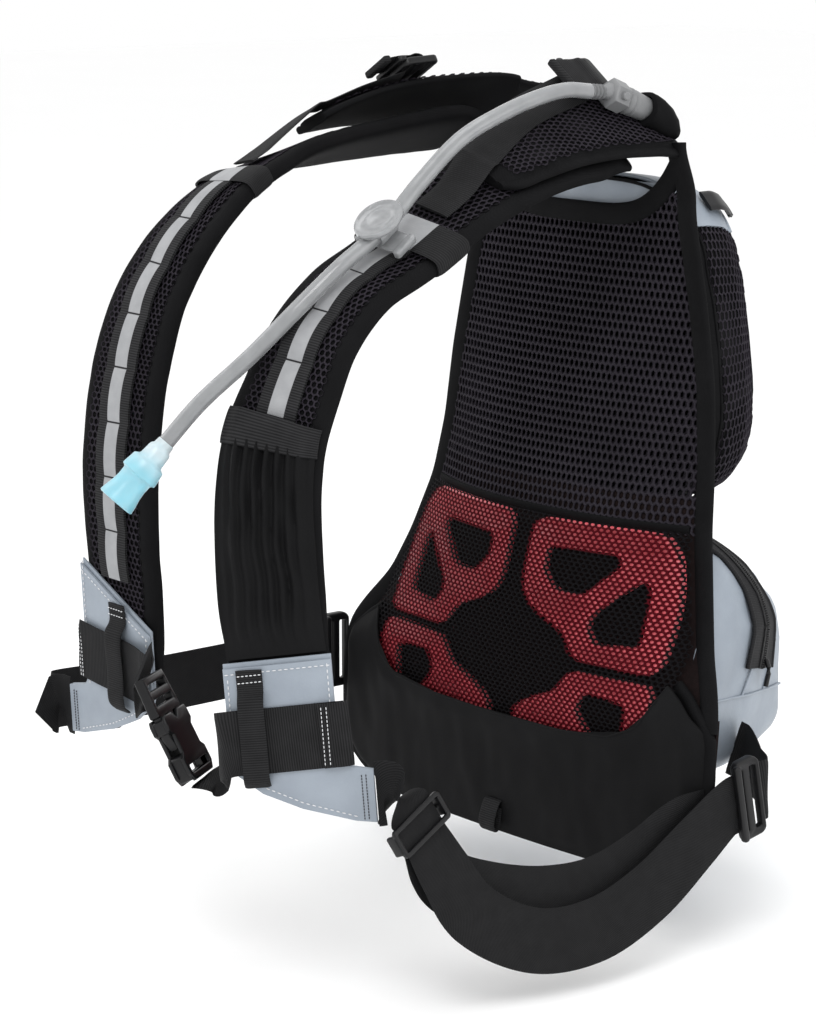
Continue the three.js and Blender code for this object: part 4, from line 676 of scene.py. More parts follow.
def stitch_tree():
    """The node tree that puts one rounded bead per step along the edges of a mesh."""
    if "stitch_line" in bpy.data.node_groups:
        return bpy.data.node_groups["stitch_line"]
    tree = bpy.data.node_groups.new("stitch_line", "GeometryNodeTree")
    face = tree.interface
    face.new_socket("Line", in_out="INPUT", socket_type="NodeSocketGeometry")
    face.new_socket("Step", in_out="INPUT", socket_type="NodeSocketFloat")
    face.new_socket("Size", in_out="INPUT", socket_type="NodeSocketVector")
    face.new_socket("Finish", in_out="INPUT", socket_type="NodeSocketMaterial")
    face.new_socket("Stitches", in_out="OUTPUT", socket_type="NodeSocketGeometry")

    def node(kind, **settings):
        made = tree.nodes.new(kind)
        for key, value in settings.items():
            setattr(made, key, value)
        return made

    inputs = node("NodeGroupInput")
    outputs = node("NodeGroupOutput")
    curve = node("GeometryNodeMeshToCurve")
    spots = node("GeometryNodeCurveToPoints", mode="LENGTH")
    bead = node("GeometryNodeMeshUVSphere")
    bead.inputs["Segments"].default_value = 8
    bead.inputs["Rings"].default_value = 6
    bead.inputs["Radius"].default_value = 0.5
    copies = node("GeometryNodeInstanceOnPoints")
    real = node("GeometryNodeRealizeInstances")
    finish = node("GeometryNodeSetMaterial")
    link = tree.links.new
    link(inputs.outputs["Line"], curve.inputs["Mesh"])
    link(curve.outputs["Curve"], spots.inputs["Curve"])
    link(inputs.outputs["Step"], spots.inputs["Length"])
    link(spots.outputs["Points"], copies.inputs["Points"])
    link(spots.outputs["Rotation"], copies.inputs["Rotation"])
    link(bead.outputs["Mesh"], copies.inputs["Instance"])
    link(inputs.outputs["Size"], copies.inputs["Scale"])
    link(copies.outputs["Instances"], real.inputs["Geometry"])
    link(real.outputs["Geometry"], finish.inputs["Geometry"])
    link(inputs.outputs["Finish"], finish.inputs["Material"])
    link(finish.outputs["Geometry"], outputs.inputs["Stitches"])
    return tree


# Finishes

class Value:
    """A socket that takes arithmetic: each operation adds its Math node."""

    def __init__(self, finish, socket):
        self.finish = finish
        self.socket = socket

    def math(self, operation, *others):
        return self.finish.node("ShaderNodeMath", {"operation": operation}, dict(enumerate((self, *others))))

    def __add__(self, other):
        return self.math("ADD", other)

    def __sub__(self, other):
        return self.math("SUBTRACT", other)

    def __mul__(self, other):
        return self.math("MULTIPLY", other)

    def __truediv__(self, other):
        return self.math("DIVIDE", other)

    def __rsub__(self, other):
        return self * -1.0 + other

    __radd__ = __add__
    __rmul__ = __mul__

    def band(self, half, soft):
        """1 within a distance of zero, falling to 0 over a soft edge."""
        return ((half - self.math("ABSOLUTE")) / soft + 0.5).clipped()

    def clipped(self):
        return self.math("MAXIMUM", 0.0).math("MINIMUM", 1.0)

    def repeat(self, step):
        """A saw that runs from -half to half of a step."""
        return ((self / step).math("FRACT") - 0.5) * step

    def wave(self, step):
        """Smooth ribs between 0 and 1."""
        return (self * (2 * math.pi / step)).math("SINE") * 0.5 + 0.5


class Finish:
    """One procedural material."""

    def __init__(self, name, rough, colour=None, **constants):
        self.material = bpy.data.materials.new(name)
        self.material.use_nodes = True
        self.tree = self.material.node_tree
        self.shader = self.tree.nodes["Principled BSDF"]
        if colour:
            self.set("Base Color", (*colour, 1.0))
        self.set("Roughness", rough)
        for key, value in constants.items():
            self.set(key.replace("_", " "), value)

    def node(self, kind, settings=None, values=None, out=0):
        made = self.tree.nodes.new(kind)
        for key, value in (settings or {}).items():
            setattr(made, key, value)
        for key, value in (values or {}).items():
            self.join(made.inputs[key], value)
        return Value(self, made.outputs[out])

    def join(self, socket, value):
        if isinstance(value, Value):
            self.tree.links.new(value.socket, socket)
        else:
            socket.default_value = value

    def set(self, key, value):
        self.join(self.shader.inputs[key], value)

    def place(self):
        return self.node("ShaderNodeTexCoord", out="Object")

    def across_along(self):
        """The UV in millimetres as two values."""
        uv = self.node("ShaderNodeUVMap", {"uv_map": "mm"})
        made = self.node("ShaderNodeSeparateXYZ", values={0: uv})
        return made, Value(self, made.socket.node.outputs[1])

    def noise(self, size, detail=2.0):
        """Soft random values around one half, its grain given in millimetres."""
        values = {"Vector": self.place(), "Scale": 1000.0 / size, "Detail": detail}
        return self.node("ShaderNodeTexNoise", values=values, out="Fac")

    def blend(self, share, first, second):
        values = {"Factor": share, 6: first, 7: second}
        return self.node("ShaderNodeMix", {"data_type": "RGBA"}, values, out=2)

    def bump(self, height, distance, strength=1.0):
        values = {"Height": height, "Distance": distance * MM, "Strength": strength}
        self.set("Normal", self.node("ShaderNodeBump", values=values))

    def tint(self, dark, light, share):
        self.set("Base Color", self.blend(share, (*dark, 1.0), (*light, 1.0)))


def fine_weave(finish, pitch):
    """The crossing ribs of a plain weave on the piece's own place."""
    parts = finish.node("ShaderNodeSeparateXYZ", values={0: finish.place()})
    outputs = parts.socket.node.outputs
    x, y, z = (Value(finish, outputs[i]) for i in range(3))
    return (x + z).wave(pitch * MM) * 0.5 + (y - z).wave(pitch * MM) * 0.5


def black_cloth():
    """Plain woven nylon, with a painted sheen that lightens the threads' crowns."""
    made = Finish("black_cloth", 0.8, Specular_IOR_Level=0.07)
    cloudy = made.noise(24, 3.0)
    weave = fine_weave(made, 0.75)
    # Painted sheen: the weave lightens the threads' crowns; the cloudy noise is random tone.
    made.tint((0.0025, 0.0025, 0.0028), (0.009, 0.009, 0.0098), cloudy * 0.7 + weave * 0.35)
    made.bump(weave + cloudy * 2.0, 0.18, 0.6)
    return made.material


def stretch_cloth():
    """A smooth knit with a faint sheen and fine courses."""
    made = Finish("stretch_cloth", 0.7, Specular_IOR_Level=0.09)
    cloudy = made.noise(40, 3.0)
    grain = made.noise(1.1, 1.0)
    made.tint((0.003, 0.003, 0.0033), (0.0095, 0.0095, 0.0102), cloudy * 0.8 + grain * 0.2)
    made.bump(grain + fine_weave(made, 1.0) * 0.5, 0.12, 0.5)
    return made.material


def coated_cloth():
    """Grey-blue coated fabric with soft creases, painted shade in their troughs, and a light grain."""
    made = Finish("coated_cloth", 0.5, Coat_Weight=0.1, Coat_Roughness=0.4)
    creases = made.noise(30, 4.0)
    grain = made.noise(0.9, 2.0)
    # Painted shade: the tint follows the creases' height, darker in their troughs and lighter on their
    # crests.
    made.tint((0.19, 0.22, 0.26), (0.30, 0.34, 0.39), creases * 1.2 - 0.1 + grain * 0.12)
    made.bump(creases * 6.0 + grain * 0.25, 0.5, 0.5)
    return made.material


def webbing(name, step, light, stripe=None, tack=None, slant=0.0, turned=False):
    """Ribbed webbing, where wanted with a reflective middle stripe that bar tacks cross."""
    made = Finish(name, 0.68, Specular_IOR_Level=0.09)
    across, along = made.across_along()
    if turned:
        across, along = along, across
    ribs = (along + across * slant).wave(step)
    threads = across.wave(0.9)
    cloudy = made.noise(9, 2.0)
    dark = (0.004, 0.004, 0.0044, 1.0)
    black = made.blend(ribs * 0.7 + cloudy * 0.4, dark, (light, light, light * 1.05, 1.0))
    height = ribs * 0.8 + threads * 0.3
    if stripe:
        mask = across.band(stripe / 2, 0.35)
        if tack:
            mask = mask * (1.0 - along.repeat(tack).band(0.55, 0.3))
        shine = made.blend(cloudy, (0.25, 0.255, 0.265, 1.0), (0.36, 0.365, 0.375, 1.0))
        made.set("Base Color", made.blend(mask, black, shine))
        made.set("Roughness", 0.66 - mask * 0.26)
        height = height * (1.0 - mask * 0.85)
    else:
        made.set("Base Color", black)
    made.bump(height, 0.25, 0.7)
    return made.material


def hex_mesh():
    """Knitted strands of dark grey with a purple tinge."""
    made = Finish("hex_mesh", 0.62, Specular_IOR_Level=0.12)
    fibres = made.noise(0.7, 2.0)
    cloudy = made.noise(45, 2.0)
    made.tint((0.006, 0.005, 0.007), (0.034, 0.029, 0.039), fibres * 0.6 + cloudy * 0.5 - 0.05)
    made.bump(fibres, 0.12, 0.5)
    return made.material


def fine_net():
    """Black net with painted red light from the pads where it lies over them."""
    made = Finish("fine_net", 0.7, Specular_IOR_Level=0.06)
    fibres = made.noise(0.7, 2.0)
    over = made.node("ShaderNodeAttribute", {"attribute_name": "over_pad"}, out="Fac")
    black = made.blend(fibres, (0.0015, 0.0013, 0.0016, 1.0), (0.008, 0.007, 0.0085, 1.0))
    # Painted light: the pads' red lighting the black strands where they lie over a pad.
    red = made.blend(fibres, (0.035, 0.001, 0.003, 1.0), (0.10, 0.003, 0.008, 1.0))
    made.set("Base Color", made.blend(over, black, red))
    made.bump(fibres, 0.12, 0.5)
    return made.material


def red_foam():
    """Moulded red foam with a soft gloss and a fine grain."""
    made = Finish("red_foam", 0.36, Coat_Weight=0.3, Coat_Roughness=0.25)
    grain = made.noise(1.2, 2.0)
    cloudy = made.noise(20, 2.0)
    made.tint((0.66, 0.06, 0.08), (0.93, 0.19, 0.22), grain * 0.7 + cloudy * 0.3)
    made.bump(grain, 0.2, 0.4)
    return made.material


def base_felt():
    """The dark backing behind the pads, with a warm tinge."""
    made = Finish("base_felt", 0.95, Specular_IOR_Level=0.1)
    made.tint((0.004, 0.003, 0.003), (0.014, 0.008, 0.008), made.noise(3, 3.0))
    made.bump(made.noise(1.0, 2.0), 0.3, 0.6)
    return made.material


def plastic(name, dark, light, rough, **constants):
    """Moulded plastic with a fine spark grain and slight wear."""
    made = Finish(name, rough, **constants)
    grain = made.noise(0.5, 2.0)
    wear = made.noise(14, 3.0)
    made.tint(dark, light, wear * 0.7 + grain * 0.3)
    made.bump(grain, 0.05, 0.35)
    return made.material


def zip_tape():
    """Matt zip tape with fine ribs across it."""
    made = Finish("zip_tape", 0.55, Specular_IOR_Level=0.12)
    along = made.across_along()[1]
    ribs = along.wave(1.6)
    cloudy = made.noise(6, 2.0)
    made.tint((0.007, 0.007, 0.0075), (0.024, 0.024, 0.026), ribs * 0.5 + cloudy * 0.4)
    made.bump(ribs + cloudy, 0.15, 0.5)
    return made.material


def thread(name, colour):
    made = Finish(name, 0.7)
    twist = made.noise(0.6, 2.0)
    made.tint(tuple(c * 0.65 for c in colour), colour, twist)
    made.bump(twist, 0.1, 0.6)
    return made.material


def clear_hose():
    """Clear flexible tube, slightly smoky."""
    made = Finish("clear_hose", 0.16, IOR=1.34, Transmission_Weight=0.5, Coat_Weight=0.6, Coat_Roughness=0.08)
    haze = made.noise(12, 2.0)
    made.tint((0.34, 0.35, 0.36), (0.50, 0.51, 0.52), haze)
    made.bump(made.noise(3, 1.0), 0.05, 0.3)
    return made.material


def clear_plastic():
    made = Finish(
        "clear_plastic", 0.2, IOR=1.4, Transmission_Weight=0.45, Coat_Weight=0.5, Coat_Roughness=0.12,
    )
    haze = made.noise(5, 2.0)
    made.tint((0.30, 0.31, 0.32), (0.50, 0.51, 0.52), haze)
    made.bump(made.noise(0.8, 2.0), 0.06, 0.4)
    return made.material


def blue_silicone():
    """Frosted silicone between clear and cyan."""
    made = Finish(
        "blue_silicone", 0.3, IOR=1.4, Transmission_Weight=0.35, Coat_Weight=0.3, Coat_Roughness=0.2,
    )
    along = made.across_along()[1]
    cyan = ((along - 8.0) / 14.0).clipped()
    cloudy = made.noise(7, 3.0)
    made.tint((0.72, 0.80, 0.83), (0.30, 0.68, 0.80), (cyan * 0.8 + cloudy * 0.5 - 0.15).clipped())
    made.bump(cloudy, 0.1, 0.4)
    return made.material


def floor_finish():
    made = Finish("studio_floor", 0.9)
    made.tint((0.985, 0.985, 0.985), (1.0, 1.0, 1.0), made.noise(400, 2.0))
    return made.material


BLACK_CLOTH = black_cloth()
STRETCH = stretch_cloth()
COATED = coated_cloth()
DAISY = webbing("daisy_webbing", 1.5, 0.032, stripe=10.5, tack=TACK_STEP)
STRIPED = webbing("striped_webbing", 1.5, 0.022, stripe=22.0, turned=True)
WEB = webbing("webbing", 1.4, 0.024)
TWILL = webbing("twill_webbing", 1.1, 0.019, slant=0.7)
HEX = hex_mesh()
NET = fine_net()
FOAM = red_foam()
FELT = base_felt()
BLACK = plastic("black_plastic", (0.003, 0.003, 0.0035), (0.009, 0.009, 0.010), 0.36, Specular_IOR_Level=0.28)
GREY = plastic("grey_plastic", (0.14, 0.143, 0.147), (0.21, 0.214, 0.219), 0.42)
ZIP = zip_tape()
WHITE_THREAD = thread("white_thread", (0.75, 0.76, 0.78))
DARK_THREAD = thread("dark_thread", (0.03, 0.03, 0.034))
CLEAR = clear_hose()
CLEAR_HARD = clear_plastic()
CYAN = blue_silicone()


# Camera, light and floor

def aimed(place, direction):
    """The matrix of a camera or lamp at a place, looking along a direction."""
    return Matrix.Translation(place) @ direction.to_track_quat("-Z", "Y").to_matrix().to_4x4()


def studio():
    camera = bpy.data.cameras.new("view")
    camera.lens = CAMERA_LENS
    camera.sensor_width = 36
    camera.clip_end = 20
    holder = bpy.data.objects.new("view", camera)
    holder.matrix_world = aimed(CAMERA_PLACE, Vector(CAMERA_LOOK).normalized())
    bpy.context.scene.collection.objects.link(holder)
    bpy.context.scene.camera = holder

    world = bpy.data.worlds.new("studio")
    world.use_nodes = True
    sky = world.node_tree.nodes["Background"]
    sky.inputs["Color"].default_value = (1.0, 1.0, 1.0, 1.0)
    sky.inputs["Strength"].default_value = 1.0
    bpy.context.scene.world = world
    bpy.context.scene.view_settings.view_transform = "Standard"

    for name, place, power, size in (
        ("key", (1.1, -1.3, 1.5), 15, 1.0),
        ("fill", (-1.6, -1.2, 0.7), 8, 1.4),
        ("side", (1.8, 0.6, 0.5), 7, 1.2),
        ("top", (0.0, -0.1, 1.9), 9, 1.2),
    ):
        lamp = bpy.data.lights.new(name, "AREA")
        lamp.energy = power
        lamp.size = size
        stand = bpy.data.objects.new(name, lamp)
        stand.matrix_world = aimed(place, LAMP_AIM - Vector(place))
        bpy.context.scene.collection.objects.link(stand)

    mesh = bpy.data.meshes.new("studio_floor")
    corners = [(x * FLOOR_REACH, y * FLOOR_REACH) for x, y in ((-1, -1), (1, -1), (1, 1), (-1, 1))]
    mesh.from_pydata([(x, y, FLOOR_HEIGHT) for x, y in corners], [], [(0, 1, 2, 3)])
    mesh.materials.append(floor_finish())
    floor = bpy.data.objects.new("studio_floor", mesh)
    bpy.context.scene.collection.objects.link(floor)


def keep(piece, slot, *nodes):
    """Rides a finished piece on the body, for the solids that it stands for."""
    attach(piece, BODY)
    if nodes:
        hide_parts(*nodes)
    return piece


# Hose and what is on it

hose = Path(np.array(HOSE_ROUTE) / MM)
TILT = unit(vec(0.02, 0.93, -0.36))
NIPPLE_LENGTH = 17
KNEE = hose.point(0) - hose.tangent(0) * NIPPLE_LENGTH


def make_hose():
    """A clear tube with an open bore."""
    count = 220
    sides = 28
    points = hose.sampled(count)
    shape = Shape()
    angles = np.arange(sides) * 2 * math.pi / sides
    up = vec(1.0, 0.0, 0.0)

    def ring(i, radius):
        t = hose.tangent(i / (count - 1))
        x = unit(np.cross(t, up))
        y = np.cross(x, t)
        return [points[i] + radius * (math.cos(a) * x + math.sin(a) * y) for a in angles]

    outer = [ring(i, HOSE_WIDTH / 2) for i in range(count)]
    inner = [ring(i, HOSE_BORE / 2) for i in reversed(range(count))]
    shape.loft(outer + inner, looped=True)
    return shape.piece("drink_tube_clear", [CLEAR])


def make_connector():
    """The barbed nipple in the hose, its six-sided body and the barrel into the port."""
    start = hose.point(0)
    back = -hose.tangent(0)
    shape = Shape()
    barb = [(0.4, 3.1)]
    for i in range(4):
        barb += [(0.4 + 3 * i, 4.75), (2.6 + 3 * i, 3.9), (3.0 + 3 * i, 3.5)]
    barb += [(12.8, 3.7), (15.5, 5.2), (17.5, 5.9), (21.5, 5.9), (23, 4.8)]
    shape.turned(barb, start, back)
    hex_body = [(-1.2, 5.2), (-0.6, 8.2), (0.6, 9.6), (11.0, 9.6), (12.2, 8.6), (12.8, 7.2)]
    shape.turned(hex_body, KNEE, TILT, sides=6)
    barrel = [
        (11, 6.6), (12.6, 7.2), (14, 8.2), (16, 8.4), (17, 7.8), (18.4, 7.7), (19.2, 8.2), (30, 7.5),
        (45, 6.9), (46, 6.2),
    ]
    shape.turned(barrel, KNEE, TILT)
    side = unit(np.cross(TILT, vec(0.0, 0.0, 1.0)))
    shape.turned([(7.6, 2.6), (10.6, 2.6), (11.2, 2.0)], KNEE + TILT * 5.5, side, sides=20)
    return shape.piece("tube_connector_grey", [GREY], 35)


def make_valve():
    shape = Shape()
    end = hose.point(1)
    along = hose.tangent(1)
    rows = [
        (-4, 5.1), (0, 5.6), (1, 6.6), (2.5, 7.0), (9, 7.5), (10, 8.2), (11, 10.0), (12, 10.4), (19, 11.4),
        (20, 11.3), (20.6, 10.2), (21.4, 9.4), (26, 9.2), (30, 9.6), (37, 11.0), (39.4, 11.3), (40, 10.4),
        (39.2, 8.6), (36.5, 7.0), (36.2, 1.0),
    ]
    shape.turned(rows, end + along * GAP, along, sides=48)
    return shape.piece("bite_valve_silicone", [CYAN], 50)


CLIP_AT = 0.548


def make_clip():
    """The clear clip: a collar on the hose, a ringed button on its face and two hooks under it."""
    centre = hose.point(CLIP_AT)
    along = hose.tangent(CLIP_AT)
    normal = strap_frame(1, BAND_AT[1])["normal"]
    across = unit(np.cross(along, normal))
    out = np.cross(across, along)
    radius = HOSE_WIDTH / 2
    shape = Shape()
    collar = [(-7.5, radius + 0.2), (-7.5, radius + 1.4), (-6.5, radius + 1.9), (6.5, radius + 1.9)]
    collar += [(7.5, radius + 1.4), (7.5, radius + 0.2)]
    shape.turned(collar, centre, along, sides=36)
    rows = [(0, 11.5), (0, 12.6), (0.8, 13.2), (2.4, 13.2), (3.2, 12.6), (3.2, 11.4), (2.5, 10.6), (2.4, 8.0)]
    rows += [(2.9, 7.4), (2.9, 5.6), (2.4, 5.0), (2.3, 0.6)]
    angles = np.arange(48) / 48 * 2 * math.pi
    base = centre + out * (radius + 1.5)
    rings = [[base + out * d + r * (math.cos(a) * across + 1.22 * math.sin(a) * along) for a in angles]
             for d, r in rows]
    shape.loft(rings)
    shape.plate(rounded_box(30, 15, 4), [], 2.4, 0.7, (centre - out * (radius + 1.8), across, along))
    for side in (-1, 1):
        hook = centre - out * (radius + 2.6) + across * side * 14.5
        shape.plate(rounded_box(5, 17, 2), [], 5.0, 1.0, (hook, across, along))
    return shape.piece("tube_clip_clear", [CLEAR_HARD], 40)


def make_sleeve():
    """The black cloth port that the connector's barrel goes into."""
    across = unit(vec(1, 0, 0) - TILT * TILT[0])
    up = np.cross(across, TILT)
    rows = [
        (29.6, 12.6, 10.2, 0), (30, 13.2, 10.8, 0), (33, 13.3, 11, 0), (38, 13, 11, 0),
        (43, 12.9, 10.4, 0.8), (48, 12.5, 9.5, 2), (53, 11.6, 7.6, 4), (57, 9.5, 5, 6.4), (59, 5, 2.6, 8),
    ]

    def ring(d, half, high, drop, count=36):
        points = []
        for i in range(count):
            a = i / count * 2 * math.pi
            crease = 1 + 0.035 * math.sin(5 * a + d * 0.3)
            point = KNEE + TILT * d + across * math.cos(a) * half * crease
            points.append(point + up * (math.sin(a) * high * crease - drop))
        return points

    inner = [ring(29.6, 9, 8.2, 0), ring(38, 9, 8.2, 0), ring(47, 4, 3, 0)]
    shape = Shape()
    shape.loft([*inner[::-1], *(ring(*row) for row in rows)])
    return shape.piece("hose_port_cloth", [BLACK_CLOTH], 50)


# The back panel

PANEL_PLACES = np.linspace(0, 1, 241)


def softened(key):
    """A column of the panel's table, rounded off at its rows."""
    values = np.interp(PANEL_PLACES, [r["down"] for r in PANEL_ROWS], [r[key] for r in PANEL_ROWS])
    kernel = np.hanning(17)
    padded = np.pad(values, 8, mode="edge")
    return np.convolve(padded, kernel / kernel.sum(), mode="valid")


PANEL_SOFT = {key: softened(key) for key in ("half", "mid", "edge")}


def panel_z(down):
    return PANEL_TOP - down * PANEL_HEIGHT


def panel_value(key, z):
    return np.interp((PANEL_TOP - np.asarray(z, float)) / PANEL_HEIGHT, PANEL_PLACES, PANEL_SOFT[key])


def panel_half(z):
    return PANEL_HALF * panel_value("half", z)


def panel_y(x, z):
    mid = -PANEL_LEAN * panel_value("mid", z)
    edge = -PANEL_LEAN * panel_value("edge", z)
    return mix(mid, edge, np.minimum(1.05, np.abs(x) / panel_half(z)) ** SIDE_CURVE)


def panel_edge(z):
    """The panel's outer edge, whose horns lean in under the yoke."""
    return panel_half(z) - HORN_LEAN * ease((np.asarray(z, float) + 25) / 33)


def on_panel(x, z, out):
    """Points in front of the panel's surface, by arrays of places."""
    x, z, out = np.broadcast_arrays(*(np.asarray(a, float) for a in (x, z, out)))
    return np.stack([x, panel_y(x, z) - out, z], axis=-1)


WING_TOP = panel_z(0.765)
SCOOP_LOW = PANEL_TOP - SCOOP_DEPTH
SCOOP_HALF = PANEL_ROWS[0]["half"] * PANEL_HALF - HORN_WIDTH


def scoop(x, margin=0.0):
    half = SCOOP_HALF - margin * 0.6
    share = np.minimum(1.0, np.abs(x) / half) ** 4.5
    return SCOOP_LOW - margin + (SCOOP_DEPTH - margin * 0.9) * share


def make_panel_net():
    def inside(x, z):
        if z < NET_SPLIT - 2 or abs(x) > panel_edge(z) - BINDING_WIDTH + 4:
            return False
        return z < scoop(x) - 5

    reach = PANEL_HALF * 0.75
    nets = []
    for name, out, shift, strand in (("face", 0.6, 0.0, 1.75), ("back", -2.2, PANEL_CELL[0] / 3, 2.3)):
        nets.append(hex_net(
            f"back_panel_{name}_net", lambda x, z, lift, out=out: on_panel(x, z, lift + out),
            (shift - reach, reach), (NET_SPLIT, PANEL_TOP), PANEL_CELL, inside, [HEX], 1.6, strand,
        ))
    return nets


def bound_edge(shape, points, half, thick):
    """A folded binding along a line on the panel: a flattened roll with a sewn groove."""
    points = np.asarray(points, float)
    rings = []
    for p, t in zip(points, np.gradient(points, axis=0)):
        t = unit(t)
        out = vec(0.0, -1.0, 0.0)
        out = unit(out - t * np.dot(out, t))
        wide = np.cross(t, out)
        ring = []
        for x, y in rounded_section(18, 0.8, 0.75, start=0):
            groove = 1 - 0.16 * math.exp(-((x - 0.45) / 0.13) ** 2)
            ring.append(p + wide * x * half + out * y * thick / 2 * groove)
        rings.append(ring)
    shape.loft(rings)


def make_binding():
    shape = Shape()
    middle = BINDING_WIDTH / 2
    for side in (1, -1):
        z = np.linspace(WING_TOP - 8, PANEL_TOP + 1, 90)
        bound_edge(shape, on_panel(side * (panel_edge(z) - middle), z, 0), middle, BINDING_THICK)
    x = np.linspace(SCOOP_HALF - 2, 2 - SCOOP_HALF, 90)
    bound_edge(shape, on_panel(x, scoop(x) - middle, 0), middle, BINDING_THICK)
    z = NET_SPLIT + 0 * x[:60]
    x = np.linspace(-1, 1, 60) * (panel_half(NET_SPLIT) - BINDING_WIDTH)
    bound_edge(shape, on_panel(x, z, 1.3), 2.6, 2.2)
    return shape.piece("panel_binding_cloth", [BLACK_CLOTH], 60)


def make_base():
    """The lumbar backing, wide in the wings, with a strip of lining behind the split of the nets."""
    shape = Shape()
    for top, bottom, margin in ((NET_SPLIT, WING_TOP - 1, BINDING_WIDTH - 9), (WING_TOP, panel_z(1) + 1, 1)):
        z = np.linspace(top, bottom, 30)
        shares = np.linspace(-1, 1, 61)
        x = shares[None, :] * (panel_half(z) - margin)[:, None]
        grid_z = np.broadcast_to(z[:, None], x.shape)
        shape.slab(on_panel(x, grid_z, 0), on_panel(x, grid_z, -2), shares * PANEL_HALF, z)
    z = np.linspace(NET_SPLIT + 18, NET_SPLIT - 4, 6)
    x = shares[None, :] * (panel_half(z) - BINDING_WIDTH + 5)[:, None]
    grid_z = np.broadcast_to(z[:, None], x.shape)
    shape.slab(on_panel(x, grid_z, -0.3), on_panel(x, grid_z, -0.8), shares * PANEL_HALF, z)
    return shape.piece("lumbar_base_felt", [FELT], 60)


def pad_place(side, lower):
    top = NET_SPLIT - 3
    pivot = top - PAD_HEIGHT - PAD_ROW_GAP / 2

    def place(row):
        z = top - row["down"] * PAD_HEIGHT
        return side * (PAD_FROM_MIDDLE + row["across"] * PAD_WIDTH), (2 * pivot - z if lower else z)

    return place


def rounded_ring(corners, radius):
    """A closed line with straight sides and rounded corners."""
    line = []
    for i, here in enumerate(corners):
        here = vec(*here)
        ends = []
        for other in (corners[i - 1], corners[(i + 1) % len(corners)]):
            way = vec(*other) - here
            ends.append(here + way * min(0.42, radius / np.linalg.norm(way)))
        for t in np.linspace(0, 1, 5):
            line.append(tuple(mix(mix(ends[0], here, t), mix(here, ends[1], t), t)))
    return line


def pad_rings(side, lower):
    place = pad_place(side, lower)
    outline = rounded_ring([place(r) for r in PAD_OUTLINE], 10)
    return [outline, *(rounded_ring([place(r) for r in ring], 5) for ring in PAD_WINDOWS)]


def make_pad(side, word, lower):
    outline, *windows = pad_rings(side, lower)
    points, faces = plate(outline, windows, PAD_THICK, 2.2)
    bent = on_panel(points[:, 0], points[:, 1], GAP + PAD_THICK / 2 + points[:, 2])
    shape = Shape()
    shape.add(bent, faces)
    row = "lower" if lower else "upper"
    return shape.piece(f"pad_{row}_{word}_foam", [FOAM], 60), f"pad_{row}_{word}"


def inside_ring(ring, x, z):
    """Whether a place is inside a closed line, by counting crossings."""
    hit = False
    for (x1, z1), (x2, z2) in zip(ring, ring[1:] + ring[:1]):
        if (z1 > z) != (z2 > z) and x < (x2 - x1) * (z - z1) / (z2 - z1) + x1:
            hit = not hit
    return hit


def make_lumbar_net():
    pads = [pad_rings(side, lower) for side in (1, -1) for lower in (False, True)]

    # Where the net takes the painted red light of the pads: over a pad and outside its windows.
    def over_pad(x, z):
        for outline, *windows in pads:
            if inside_ring(outline, x, z) and not any(inside_ring(w, x, z) for w in windows):
                return 1.0
        return 0.0

    def inside(x, z):
        if z > NET_SPLIT - 2 or z < panel_z(1) + 20:
            return False
        return abs(x) < min(panel_half(z) - BINDING_WIDTH + 3, 0.8 * PANEL_HALF)

    reach = 0.82 * PANEL_HALF
    return hex_net(
        "lumbar_net_black", lambda x, z, out: on_panel(x, z, out + NET_OVER_PADS), (-reach, reach),
        (panel_z(1) + 18, NET_SPLIT), NET_CELL, inside, [NET], 0.9, 2.05, over_pad,
    )


def pocket_low(x, z):
    side = (panel_half(z) - np.abs(x)) / 16
    return mix(GAP, 8.3, ease(side))


def make_pocket():
    """The stretch pocket: a thin edged mouth over the net, running out into the wings."""
    wing = np.linspace(0.79, 1, 14)
    shares = np.concatenate([-wing[::-1], np.linspace(-0.78, 0.78, 75), wing])
    down = np.linspace(0, 1, 44)
    top = look_up(POCKET_TOP_ROWS, "across", "down", np.abs(shares))
    low = look_up(POCKET_LOW_ROWS, "across", "down", np.abs(shares))
    x = np.broadcast_to(shares * (PANEL_HALF - 0.5), (len(down), len(shares)))
    z = panel_z(mix(top[None, :], low[None, :], down[:, None]))
    mouth = (1 - ease(down / 0.35))[:, None] * (1 - ease((np.abs(shares) - 0.6) / 0.15))[None, :]

    def fold(a, b):
        return 1.6 * ripple(a, 0.35 * b, 3.0, 26) + 0.9 * ripple(a, 0.5 * b, 9.0, 11)

    edges = ease(np.minimum(down, 1 - down)[:, None] / 0.12) * ease((1 - np.abs(shares))[None, :] / 0.06)
    lift = pocket_low(x, z) + 2.4 * mouth + (over_grid(fold, x, z) + 0.8) * edges
    shape = Shape()
    front = on_panel(x, z, lift + POCKET_THICK)
    shape.slab(front, on_panel(x, z, lift), x[0], z[:, 50])
    inner = np.abs(shares) <= 0.79
    rim = front[0, inner] + vec(0.0, 0.5, 0.0)
    shape.tube(rim, 0.85, 8)
    return shape.piece("lower_pocket_stretch", [STRETCH], 60)


